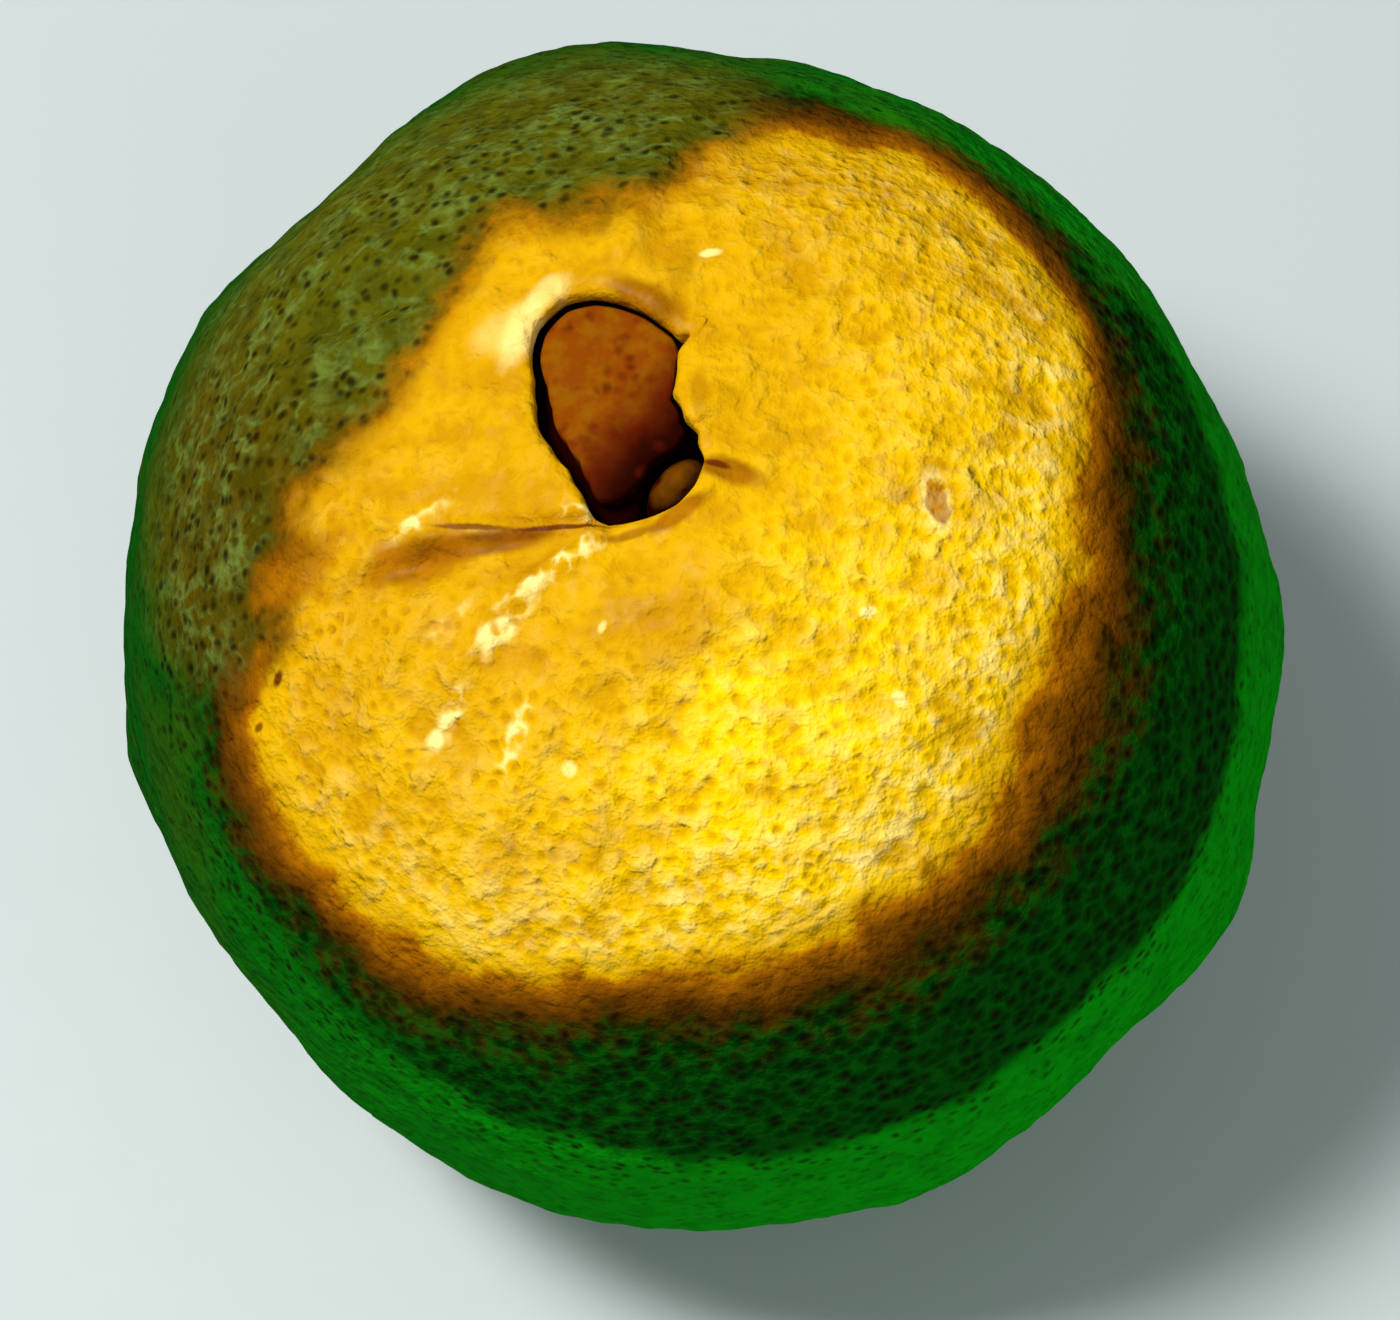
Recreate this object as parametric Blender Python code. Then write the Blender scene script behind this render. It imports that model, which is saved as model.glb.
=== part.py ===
"""Navel orange standing on its stem end, with its open navel up and leaning to -X.

Metres, +Z up. The origin is under the middle of the fruit, on the surface that it rests on.
Every piece is a profile turned about Z, then moulded by the same rules, so the pieces keep their gaps.
"""

import math
from collections import namedtuple

import bmesh
import bpy
from mathutils import Matrix, Vector

# Whole fruit.
FRUIT_WIDTH = 0.0772  # along X, before its swells
FRUIT_DEPTH = 0.0776  # along Y, before its swells
FRUIT_HEIGHT = 0.0765  # from the resting spot to the top of the rind, before its swells
GIRTH_HEIGHT = 0.0370  # of the widest girth above the resting spot
FULLNESS = 2.12  # 2 is an ellipse, more is boxier

# Stem end.
FLAT_RADIUS = 0.0108  # outer radius of the flat ring that it rests on
DIMPLE_RADIUS = 0.0070  # inner radius of that ring
DIMPLE_DEPTH = 0.0034
DIMPLE_EDGE = 0.0008  # rounding where the dimple meets the ring

# Navel.
NAVEL_LEAN = math.radians(9.0)
MOUTH_RADII = (  # of the opening, each 30 degrees from +X towards +Y
    0.0043, 0.0050, 0.0064, 0.0076, 0.0079, 0.0056,
    0.0047, 0.0044, 0.0047, 0.0075, 0.0080, 0.0067,
)
MOUTH_REACH = 3.2  # mean radii out to which the rind follows the opening's outline
NAVEL_DISH = 0.0012  # how far the rind sinks towards the opening
NAVEL_DISH_RADIUS = 0.0150
LIP_RADIUS = 0.0010  # rounding of the rind's edge
LIP_THICKNESS = 0.0024  # rind at the opening
UNDERCUT = 0.0022  # how far the cavity runs out under the rind
NAVEL_DEPTH = 0.0132

# Pieces inside the navel.
PIECE_GAP = 0.0003
FRUITLET_SINK = 0.0007  # top of the fruitlet below the rind
FRUITLET_SHOULDER = 0.0009  # fall from its top to its edge in the opening
FRUITLET_SHIFT = 0.0006  # off centre, tucked under the rind
FRUITLET_SIDE = math.radians(48.0)  # the side that it is tucked under
LOBE_LENGTH = 0.0050  # of the small lobe, along the opening's edge
LOBE_WIDTH = 0.0027
LOBE_HEIGHT = 0.0058
LOBE_SINK = 0.0012  # top of the lobe below the rind
LOBE_PLACE = 0.0060  # its middle from the navel's middle
LOBE_SIDE = math.radians(-50.0)
LOBE_TURN = math.radians(45.0)  # of its length from +X
LOBE_DENT_SPREAD = math.radians(36.0)  # of the fruitlet's hollow beside the lobe

# Calyx and cut stem.
CALYX_RADIUS = 0.0049
CALYX_THICKNESS = 0.0010
CALYX_LOBES = 5
CALYX_NOTCH = 0.2  # of the radius, between two lobes
STEM_RADIUS = 0.0014
STEM_LENGTH = 0.0012

# A swell is a rise or dent in the fruit's girth, centred on a compass bearing and a height angle.
Swell = namedtuple("Swell", "bearing height spread rise")
SWELLS = (
    Swell(3, 1, 9, 0.0006),
    Swell(28, 11, 18, -0.0011),
    Swell(60, 20, 12, -0.0010),
    Swell(108, 22, 15, 0.0017),
    Swell(129, 17, 7, -0.0022),
    Swell(155, 11, 13, 0.0010),
    Swell(178, 1, 8, -0.0009),
    Swell(191, -4, 7, 0.0009),
    Swell(213, -13, 12, -0.0011),
    Swell(262, -23, 12, 0.0004),
    Swell(292, -21, 10, 0.0004),
    Swell(316, -17, 8, -0.0007),
    Swell(333, -11, 9, 0.0012),
)
SWELLS_END = (math.radians(-62.0), math.radians(-38.0))  # the swells fade out above the stem end

# A fold is a ridge or furrow in the rind, along a line in the plan about the navel.
Fold = namedtuple("Fold", "start end width rise")
FOLDS = (
    Fold((-0.0006, -0.0090), (-0.0165, -0.0072), 0.0018, -0.0008),
    Fold((-0.0016, -0.0110), (-0.0110, -0.0165), 0.0026, 0.0006),
    Fold((0.0080, 0.0005), (0.0125, 0.0046), 0.0024, 0.0005),
)

# Mesh.
TURN_STEPS = 72
SKIN_RINGS = 28
RING_CROWDING = 1.35  # above 1, the rings crowd towards the navel
LOBE_STEPS = 18
LOBE_RINGS = 12
CALYX_STEPS = 40

MOUTH_MEAN = sum(MOUTH_RADII) / len(MOUTH_RADII)
PLAN_GAP = PIECE_GAP * MOUTH_MEAN / min(MOUTH_RADII)  # stays a full gap where the plan is drawn in
CAVITY_MAX = MOUTH_MEAN + UNDERCUT
FRUITLET_MAX = CAVITY_MAX - PLAN_GAP - FRUITLET_SHIFT
CENTRE = Vector((0.0, 0.0, GIRTH_HEIGHT))


def clear_scene():
    """Remove the objects that the scene starts with."""
    for thing in list(bpy.data.objects):
        bpy.data.objects.remove(thing, do_unlink=True)


def smooth_step(low, high, value):
    """Rise smoothly from 0 at low to 1 at high."""
    share = min(max((value - low) / (high - low), 0.0), 1.0)
    return share * share * (3.0 - 2.0 * share)


def mouth_radius(bearing):
    """Return the opening's radius on a bearing, on a smooth closed curve through its radii."""
    count = len(MOUTH_RADII)
    place = bearing / (2.0 * math.pi) * count % count
    first = int(place)
    share = place - first
    before, start, end, after = (MOUTH_RADII[(first + k) % count] for k in (-1, 0, 1, 2))
    slope = (end - before) / 2.0
    bend = before - 2.5 * start + 2.0 * end - 0.5 * after
    twist = 1.5 * (start - end) + 0.5 * (after - before)
    return start + share * (slope + share * (bend + share * twist))


def follow_mouth(point):
    """Draw the plan in or out to the opening's outline, near the navel."""
    spread = math.hypot(point.x, point.y)
    stretch = mouth_radius(math.atan2(point.y, point.x)) / MOUTH_MEAN
    near = 1.0 - smooth_step(CAVITY_MAX, MOUTH_REACH * MOUTH_MEAN, spread)
    near *= smooth_step(GIRTH_HEIGHT, (GIRTH_HEIGHT + FRUIT_HEIGHT) / 2.0, point.z)
    scale = 1.0 + (stretch - 1.0) * near
    return Vector((point.x * scale, point.y * scale, point.z))


def distance_to_line(point, start, end):
    """Return the plan distance from a point to a straight stretch."""
    start = Vector(start)
    along = Vector(end) - start
    share = (point.xy - start).dot(along) / along.length_squared
    return (point.xy - start - along * min(max(share, 0.0), 1.0)).length


def fold_rise(point):
    """Return how far the folds raise the rind at a point of the upper half."""
    total = sum(
        fold.rise * math.exp(-((distance_to_line(point, fold.start, fold.end) / fold.width) ** 2))
        for fold in FOLDS
    )
    return total * smooth_step(GIRTH_HEIGHT, (GIRTH_HEIGHT + FRUIT_HEIGHT) / 2.0, point.z)


def lean(point):
    """Turn the upper part about the fruit's middle, so that the navel leans to -X."""
    arm = point - CENTRE
    tilt = arm.angle(Vector((0.0, 0.0, 1.0)), 0.0)
    share = 1.0 - smooth_step(math.radians(60.0), math.radians(140.0), tilt)
    return CENTRE + Matrix.Rotation(-NAVEL_LEAN * share, 3, "Y") @ arm


def direction_of(bearing, height):
    """Return the unit vector on a bearing, at an angle above the horizon."""
    level = math.cos(height)
    return Vector((math.cos(bearing) * level, math.sin(bearing) * level, math.sin(height)))


def swell_rise(direction):
    """Return how far the swells raise the rind in a direction from the fruit's middle."""
    total = 0.0
    for swell in SWELLS:
        middle = direction_of(math.radians(swell.bearing), math.radians(swell.height))
        total += swell.rise * math.exp(-((direction.angle(middle) / math.radians(swell.spread)) ** 2))
    return total * smooth_step(*SWELLS_END, math.asin(direction.z))


def settle(point):
    """Give a point the fruit's depth, lean and swells, with both ends of the fruit left round."""
    girth_share = (2.0 * point.xy.length / FRUIT_WIDTH) ** 2
    deepen = 1.0 + (FRUIT_DEPTH / FRUIT_WIDTH - 1.0) * girth_share
    point = lean(Vector((point.x, point.y * deepen, point.z)))
    out = (point - CENTRE).normalized()
    return point + out * swell_rise(out)


def mould(point, on_skin=False):
    """Move a point of a turned shape to its place in the grown fruit."""
    point = follow_mouth(point)
    if on_skin:
        point = point + (point - CENTRE).normalized() * fold_rise(point)
    return settle(point)


def skin_point(angle):
    """Return radius and height of the rind at an angle from the top, sunk round the navel."""
    power = 2.0 / FULLNESS
    radius = FRUIT_WIDTH / 2.0 * math.sin(angle) ** power
    rise = abs(math.cos(angle)) ** power
    if angle <= math.pi / 2.0:
        sink = NAVEL_DISH * math.exp(-((radius / NAVEL_DISH_RADIUS) ** 2))
        return radius, GIRTH_HEIGHT + (FRUIT_HEIGHT - GIRTH_HEIGHT) * rise - sink
    return radius, GIRTH_HEIGHT * (1.0 - rise / math.cos(skin_angle(FLAT_RADIUS)) ** power)


def skin_angle(radius):
    """Return the angle from the fruit's axis at which the rind has a radius."""
    return math.asin((radius / (FRUIT_WIDTH / 2.0)) ** (FULLNESS / 2.0))


def skin_profile():
    """Return the rind from the rolled edge of the opening down to the flat ring."""
    start = skin_angle(MOUTH_MEAN + LIP_RADIUS)
    end = math.pi - skin_angle(FLAT_RADIUS)
    shares = [(ring / (SKIN_RINGS - 1)) ** RING_CROWDING for ring in range(SKIN_RINGS)]
    return [skin_point(start + (end - start) * share) for share in shares]


def cavity_wall(top):
    """Return the navel cavity from the edge of its floor up to its widest."""
    return [
        (MOUTH_MEAN * 0.45, top - NAVEL_DEPTH * 0.985),
        (MOUTH_MEAN * 0.80, top - NAVEL_DEPTH * 0.90),
        (MOUTH_MEAN + UNDERCUT * 0.45, top - NAVEL_DEPTH * 0.68),
        (MOUTH_MEAN + UNDERCUT * 0.9, top - NAVEL_DEPTH * 0.48),
        (CAVITY_MAX, top - NAVEL_DEPTH * 0.34),
    ]


def cavity_profile(top):
    """Return the navel cavity from its floor up to the edge of the opening."""
    return [
        (0.0, top - NAVEL_DEPTH),
        *cavity_wall(top),
        (MOUTH_MEAN + UNDERCUT * 0.72, top - LIP_THICKNESS),
        (MOUTH_MEAN + UNDERCUT * 0.22, top - LIP_THICKNESS * 0.80),
        (MOUTH_MEAN, top - LIP_THICKNESS * 0.55),
        (MOUTH_MEAN + LIP_RADIUS * 0.08, top - LIP_THICKNESS * 0.30),
        (MOUTH_MEAN + LIP_RADIUS * 0.40, top - LIP_THICKNESS * 0.08),
    ]


def stem_profile():
    """Return the flat ring and the dimple, from the ring's outer edge to the dimple's middle."""
    floor_radius = CALYX_RADIUS + 2.0 * PIECE_GAP
    wall_radius = (floor_radius + DIMPLE_RADIUS) / 2.0
    return [
        ((FLAT_RADIUS + DIMPLE_RADIUS) / 2.0, 0.0),
        (DIMPLE_RADIUS, 0.0),
        (DIMPLE_RADIUS - DIMPLE_EDGE * 0.7, DIMPLE_EDGE * 0.4),
        (wall_radius, DIMPLE_DEPTH * 0.6),
        (floor_radius, DIMPLE_DEPTH),
        (floor_radius * 0.5, DIMPLE_DEPTH),
        (0.0, DIMPLE_DEPTH),
    ]


def turn(profile, steps):
    """Turn a profile of radius and height about Z into a closed shell."""
    shape = bmesh.new()
    points = [shape.verts.new((radius, 0.0, height)) for radius, height in profile]
    line = [shape.edges.new(pair) for pair in zip(points, points[1:])]
    bmesh.ops.spin(
        shape,
        geom=points + line,
        cent=(0.0, 0.0, 0.0),
        axis=(0.0, 0.0, 1.0),
        angle=2.0 * math.pi,
        steps=steps,
        use_merge=True,
        use_duplicate=False,
    )
    bmesh.ops.remove_doubles(shape, verts=shape.verts, dist=0.00001)
    return shape


def add_piece(name, shape, material):
    """Make an object of a shape, with faces out and shaded smooth."""
    bmesh.ops.recalc_face_normals(shape, faces=shape.faces)
    mesh = bpy.data.meshes.new(name)
    shape.to_mesh(mesh)
    shape.free()
    mesh.shade_smooth()
    mesh.materials.append(material)
    piece = bpy.data.objects.new(name, mesh)
    bpy.context.scene.collection.objects.link(piece)
    return piece


def add_material(name, colour, roughness):
    """Make a plain material with a colour and a roughness."""
    material = bpy.data.materials.new(name)
    material.use_nodes = True
    shader = material.node_tree.nodes["Principled BSDF"]
    shader.inputs["Base Color"].default_value = (*colour, 1.0)
    shader.inputs["Roughness"].default_value = roughness
    shader.inputs["Metallic"].default_value = 0.0
    return material


def rind_material():
    return add_material("rind", (0.85, 0.52, 0.02), 0.38)


def fruitlet_material():
    return add_material("fruitlet_rind", (0.42, 0.13, 0.01), 0.45)


def calyx_material():
    return add_material("calyx_green", (0.16, 0.19, 0.06), 0.7)


def add_orange(skin):
    """The fruit: rind, navel cavity, stem-end dimple and the flat ring that it rests on."""
    top = skin[0][1]
    shape = turn(cavity_profile(top) + skin + stem_profile(), TURN_STEPS)
    for point in shape.verts:
        outside = point.co.z > top - LIP_THICKNESS * 0.7 or point.co.xy.length > CAVITY_MAX
        point.co = mould(point.co, on_skin=outside)
    return add_piece("orange", shape, rind_material())


def fruitlet_profile(top):
    """Return the fruitlet from its base up to the middle of its top, about its own axis."""
    draw_in = CAVITY_MAX - FRUITLET_MAX
    wall = [(radius - draw_in, height + PLAN_GAP) for radius, height in cavity_wall(top)]
    neck = MOUTH_MEAN - PLAN_GAP - FRUITLET_SHIFT
    return [
        (0.0, top - NAVEL_DEPTH + PLAN_GAP),
        *wall,
        (FRUITLET_MAX * 0.96, top - LIP_THICKNESS - 4.0 * PIECE_GAP),
        (neck, top - LIP_THICKNESS - PIECE_GAP),
        (neck, top - FRUITLET_SINK - FRUITLET_SHOULDER),
        (neck * 0.90, top - FRUITLET_SINK - FRUITLET_SHOULDER * 0.45),
        (neck * 0.56, top - FRUITLET_SINK - FRUITLET_SHOULDER * 0.10),
        (0.0, top - FRUITLET_SINK),
    ]


def lobe_dent(bearing):
    """Return how far the fruitlet draws in beside the small lobe, as a share of its radius."""
    bare = FRUITLET_MAX + FRUITLET_SHIFT * math.cos(LOBE_SIDE - FRUITLET_SIDE)
    bare *= mouth_radius(LOBE_SIDE) / MOUTH_MEAN
    left = LOBE_PLACE - LOBE_WIDTH / 2.0 - PIECE_GAP
    away = math.remainder(bearing - LOBE_SIDE, 2.0 * math.pi)
    return (1.0 - left / bare) * math.exp(-((away / LOBE_DENT_SPREAD) ** 2))


def add_fruitlet(top, rind):
    """The second fruit that fills the opening, off centre, with room for the small lobe."""
    shape = turn(fruitlet_profile(top), TURN_STEPS)
    shift = direction_of(FRUITLET_SIDE, 0.0) * FRUITLET_SHIFT
    for point in shape.verts:
        place = point.co + shift
        scale = 1.0 - lobe_dent(math.atan2(place.y, place.x))
        point.co = mould(Vector((place.x * scale, place.y * scale, place.z)))
    fruitlet = add_piece("navel_fruitlet", shape, rind)
    cutter = add_piece("lobe_room", lobe_shape(top, PIECE_GAP), rind)
    cutter.hide_render = True
    cutter.display_type = "WIRE"
    room = fruitlet.modifiers.new("room_for_lobe", "BOOLEAN")
    room.operation = "DIFFERENCE"
    room.solver = "EXACT"
    room.object = cutter
    return fruitlet, cutter


def lobe_shape(top, grow):
    """Return the small lobe beside the fruitlet, grown on every side."""
    shape = bmesh.new()
    bmesh.ops.create_uvsphere(shape, u_segments=LOBE_STEPS, v_segments=LOBE_RINGS, radius=0.5)
    middle = direction_of(LOBE_SIDE, 0.0) * LOBE_PLACE
    middle.z = top - LOBE_SINK - LOBE_HEIGHT / 2.0
    size = Vector((LOBE_LENGTH, LOBE_WIDTH, LOBE_HEIGHT)) + Vector((2.0, 2.0, 2.0)) * grow
    turned = Matrix.Rotation(LOBE_TURN, 3, "Z")
    for point in shape.verts:
        point.co = settle(middle + turned @ (point.co * size))
    return shape


def add_lobe(top, rind):
    """The small second lobe, low in the opening beside the fruitlet."""
    return add_piece("navel_lobe", lobe_shape(top, 0.0), rind)


def add_calyx():
    """The five-lobed button in the stem-end dimple, with the cut stub of the stem."""
    seat = DIMPLE_DEPTH - PIECE_GAP
    under = seat - CALYX_THICKNESS
    profile = [
        (0.0, under - STEM_LENGTH),
        (STEM_RADIUS * 0.85, under - STEM_LENGTH),
        (STEM_RADIUS, under - STEM_LENGTH * 0.85),
        (STEM_RADIUS * 1.1, under),
        (CALYX_RADIUS * 0.6, under),
        (CALYX_RADIUS * 0.94, under + CALYX_THICKNESS * 0.25),
        (CALYX_RADIUS, seat - CALYX_THICKNESS * 0.3),
        (CALYX_RADIUS * 0.92, seat),
        (0.0, seat),
    ]
    shape = turn(profile, CALYX_STEPS)
    for point in shape.verts:
        spread = point.co.xy.length
        bearing = math.atan2(point.co.y, point.co.x)
        wave = (1.0 - math.cos(CALYX_LOBES * bearing)) / 2.0
        scale = 1.0 - CALYX_NOTCH * wave * smooth_step(STEM_RADIUS * 1.2, CALYX_RADIUS, spread)
        point.co = Vector((point.co.x * scale, point.co.y * scale, point.co.z))
    return add_piece("calyx", shape, calyx_material())


def centre_on_origin(pieces, fruit):
    """Shift every piece so that the fruit's box is centred over the origin."""
    xs = [point.co.x for point in fruit.data.vertices]
    ys = [point.co.y for point in fruit.data.vertices]
    shift = Vector((min(xs) + max(xs), min(ys) + max(ys), 0.0)) / 2.0
    for piece in pieces:
        piece.data.transform(Matrix.Translation(-shift))


def main():
    clear_scene()
    skin = skin_profile()
    top = skin[0][1]
    fruit = add_orange(skin)
    fruitlet_rind = fruitlet_material()
    pieces = [fruit, *add_fruitlet(top, fruitlet_rind), add_lobe(top, fruitlet_rind), add_calyx()]
    centre_on_origin(pieces, fruit)


main()
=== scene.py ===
"""Navel orange: fine rind, fruitlet, lobe and calyx button around the fixed frame, with a plain stage.

Metres, +Z up. The fruit rests on its stem end at the origin, with its open navel up and leaning to -X.
Each piece is a turned profile, moulded by the rules that give the frame its shape, then given its relief.
"""

import functools
import math
from collections import namedtuple

import bmesh
import bpy
import numpy as np
from mathutils import Matrix, Vector, kdtree, noise


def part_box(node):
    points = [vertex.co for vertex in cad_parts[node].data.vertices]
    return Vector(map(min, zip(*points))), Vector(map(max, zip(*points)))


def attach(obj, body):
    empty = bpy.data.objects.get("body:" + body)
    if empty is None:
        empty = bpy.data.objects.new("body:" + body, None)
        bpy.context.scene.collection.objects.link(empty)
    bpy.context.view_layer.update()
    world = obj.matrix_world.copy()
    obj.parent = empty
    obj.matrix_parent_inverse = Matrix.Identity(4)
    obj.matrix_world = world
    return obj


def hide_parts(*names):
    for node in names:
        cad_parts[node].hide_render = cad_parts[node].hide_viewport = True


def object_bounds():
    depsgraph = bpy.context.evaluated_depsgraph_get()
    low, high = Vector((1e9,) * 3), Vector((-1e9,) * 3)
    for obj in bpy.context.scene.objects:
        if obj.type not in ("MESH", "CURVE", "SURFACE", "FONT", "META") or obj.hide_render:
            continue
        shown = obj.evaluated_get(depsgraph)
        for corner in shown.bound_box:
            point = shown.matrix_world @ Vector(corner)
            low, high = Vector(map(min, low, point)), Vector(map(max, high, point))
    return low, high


bl_info = {
    "name": "Navel Orange",
    "version": (1, 0, 0),
    "blender": (4, 5, 0),
    "location": "3D View > Sidebar > Orange",
    "description": "Makes a navel orange with its rind, fruitlet, calyx button and a plain stage",
    "category": "Object",
}

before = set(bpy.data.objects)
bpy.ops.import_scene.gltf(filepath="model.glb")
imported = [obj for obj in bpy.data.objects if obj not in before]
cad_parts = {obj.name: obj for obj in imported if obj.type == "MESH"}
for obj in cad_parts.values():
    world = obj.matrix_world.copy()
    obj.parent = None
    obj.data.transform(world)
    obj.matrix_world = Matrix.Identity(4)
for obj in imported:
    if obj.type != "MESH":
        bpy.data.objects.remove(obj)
CAD_LOW, CAD_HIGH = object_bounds()
MIDDLE = (CAD_LOW + CAD_HIGH) / 2.0

# Whole fruit, as in the frame.
FRUIT_WIDTH = 0.0772
FRUIT_DEPTH = 0.0776
FRUIT_HEIGHT = 0.0765
GIRTH_HEIGHT = 0.0370
FULLNESS = 2.12
FLAT_RADIUS = 0.0108
DIMPLE_RADIUS = 0.0070
DIMPLE_DEPTH = 0.0034
DIMPLE_EDGE = 0.0008
NAVEL_LEAN = math.radians(9.0)
MOUTH_RADII = (
    0.0043, 0.0050, 0.0064, 0.0076, 0.0079, 0.0056,
    0.0047, 0.0044, 0.0047, 0.0075, 0.0080, 0.0067,
)
MOUTH_REACH = 3.2
NAVEL_DISH = 0.0012
NAVEL_DISH_RADIUS = 0.0150
LIP_RADIUS = 0.0010
LIP_THICKNESS = 0.0024
UNDERCUT = 0.0022
NAVEL_DEPTH = 0.0132
PIECE_GAP = 0.0003
FRUITLET_SINK = 0.0007
FRUITLET_SHOULDER = 0.0009
FRUITLET_SHIFT = 0.0006
FRUITLET_SIDE = math.radians(48.0)
LOBE_LENGTH = 0.0050
LOBE_WIDTH = 0.0027
LOBE_HEIGHT = 0.0058
LOBE_SINK = 0.0012
LOBE_PLACE = 0.0060
LOBE_SIDE = math.radians(-50.0)
LOBE_TURN = math.radians(45.0)
LOBE_DENT_SPREAD = math.radians(36.0)
CALYX_RADIUS = 0.0049
CALYX_THICKNESS = 0.0010
CALYX_LOBES = 5
CALYX_NOTCH = 0.2
STEM_RADIUS = 0.0014
STEM_LENGTH = 0.0012

Swell = namedtuple("Swell", "bearing height spread rise")
SWELLS = (
    Swell(3, 1, 9, 0.0006),
    Swell(28, 11, 18, -0.0011),
    Swell(60, 20, 12, -0.0010),
    Swell(108, 22, 15, 0.0017),
    Swell(129, 17, 7, -0.0022),
    Swell(155, 11, 13, 0.0010),
    Swell(178, 1, 8, -0.0009),
    Swell(191, -4, 7, 0.0009),
    Swell(213, -13, 12, -0.0011),
    Swell(262, -23, 12, 0.0004),
    Swell(292, -21, 10, 0.0004),
    Swell(316, -17, 8, -0.0007),
    Swell(333, -11, 9, 0.0012),
)
SWELLS_END = (math.radians(-62.0), math.radians(-38.0))

MOUTH_MEAN = sum(MOUTH_RADII) / len(MOUTH_RADII)
PLAN_GAP = PIECE_GAP * MOUTH_MEAN / min(MOUTH_RADII)
CAVITY_MAX = MOUTH_MEAN + UNDERCUT
FRUITLET_MAX = CAVITY_MAX - PLAN_GAP - FRUITLET_SHIFT
CENTRE = np.array((0.0, 0.0, GIRTH_HEIGHT))
CALYX_SEAT = DIMPLE_DEPTH - PIECE_GAP
CALYX_UNDER = CALYX_SEAT - CALYX_THICKNESS

# The torn edge of the opening: bearing in degrees about the navel, and radius.
TORN_EDGE = (
    (-172, 0.0046), (-147, 0.0043), (-122, 0.0047), (-106, 0.0059), (-97, 0.0074), (-90, 0.0077),
    (-72, 0.0079), (-58, 0.0080), (-46, 0.0077), (-38, 0.0073), (-33, 0.0071), (-27, 0.0062),
    (-20, 0.0059), (-13, 0.0048), (-2, 0.00445), (9, 0.0040), (20, 0.0044), (33, 0.00505),
    (39, 0.0055), (42, 0.0070), (47, 0.0063), (63, 0.0066), (83, 0.0073), (98, 0.0080),
    (111, 0.0082), (127, 0.0076), (136, 0.0069), (152, 0.0054), (171, 0.0047),
)
TEAR_REACH = 0.0032  # how far from the edge the rind follows its tears

LOBE_FULLNESS = 0.75  # 1 is an egg, less is fuller
FRUITLET_GAP_SIDE = -140.0  # bearing of the widest gap round the fruitlet, in degrees
FRUITLET_GAP_MOST = 0.0010
FRUITLET_GAP_LEAST = 0.00018

# Folds of the rind along lines in the plan about the navel. Each side falls away over its own width,
# the left one being the side on the left hand along the line.
Fold = namedtuple("Fold", "line left right rise fade")
FOLDS = (
    Fold(((-0.0002, -0.0086), (-0.0035, -0.0087), (-0.0072, -0.0087), (-0.0110, -0.0089),
          (-0.0148, -0.0096), (-0.0180, -0.0108)), 0.0017, 0.0014, -0.0010, 0.3),
    Fold(((-0.0002, -0.0078), (-0.0030, -0.0075), (-0.0068, -0.0072), (-0.0108, -0.0067),
          (-0.0140, -0.0071)), 0.0003, 0.0003, -0.0004, 0.5),
    Fold(((-0.0007, -0.0087), (-0.0044, -0.0107), (-0.0070, -0.0129), (-0.0100, -0.0160)),
         0.0008, 0.0008, 0.0008, 0.4),
    Fold(((0.0020, -0.0105), (-0.0040, -0.0140), (-0.0085, -0.0195)), 0.0022, 0.0026, -0.0006, 0.3),
    Fold(((0.0069, 0.0), (0.0093, 0.0029), (0.0117, 0.0045)), 0.0020, 0.0012, 0.0006, 0.7),
    Fold(((-0.0120, -0.0125), (-0.0165, -0.0185)), 0.0006, 0.0010, 0.0004, 0.2),
    Fold(((-0.0045, -0.0195), (-0.0085, -0.0262)), 0.0007, 0.0010, 0.0004, 0.2),
    Fold(((-0.0010, -0.0225), (-0.0030, -0.0290)), 0.0006, 0.0009, 0.0004, 0.2),
    Fold(((-0.0115, -0.0075), (-0.0160, -0.0042)), 0.0009, 0.0012, 0.0004, 0.3),
    Fold(((-0.0140, 0.0075), (-0.0215, 0.0060)), 0.0008, 0.0006, 0.0004, 0.2),
    Fold(((-0.0130, 0.0095), (-0.0205, 0.0092)), 0.0007, 0.0008, -0.0005, 0.2),
    Fold(((0.0010, 0.0110), (0.0035, 0.0230)), 0.0012, 0.0014, 0.0005, 0.5),
)

Lump = namedtuple("Lump", "size rise seed")
LUMPS = (Lump(0.0110, 0.00045, 3.0), Lump(0.0042, 0.00026, 17.0), Lump(0.0017, 0.00013, 41.0))

# Meshes: steps of a turn, rings of the rind, and parts of each stretch of a short profile.
RIND_STEPS = 432
SKIN_RINGS = 188
FIT_STEPS = 144
FIT_RINGS = 90
FRUITLET_STEPS = 216
FRUITLET_MERGE = 0.0003
LOBE_SEGMENTS = (72, 48)
CALYX_STEPS = 200
PROFILE_PARTS = 5

# Fine relief of the meshes: depth, size of its lumps and where its noise begins.
Relief = namedtuple("Relief", "depth size seed")
FRUITLET_RELIEF = Relief(0.00014, 0.0018, 9.0)
LOBE_RELIEF = Relief(0.00010, 0.0012, 23.0)
CALYX_RELIEF = Relief(0.00012, 0.0007, 31.0)
GLAND_COUNT = 9000
GLAND_PIT = 0.00007
GLAND_SCATTER = 0.22  # of their spacing
GLAND_REACH = 0.36  # of their spacing
GLAND_SEED = 5
BARE_HEIGHT = (0.0004, 0.0040)  # the relief fades out between these, towards the resting ring


def smooth_step(low, high, value):
    """Rise smoothly from 0 at low to 1 at high."""
    share = np.clip((value - low) / (high - low), 0.0, 1.0)
    return share * share * (3.0 - 2.0 * share)


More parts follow.
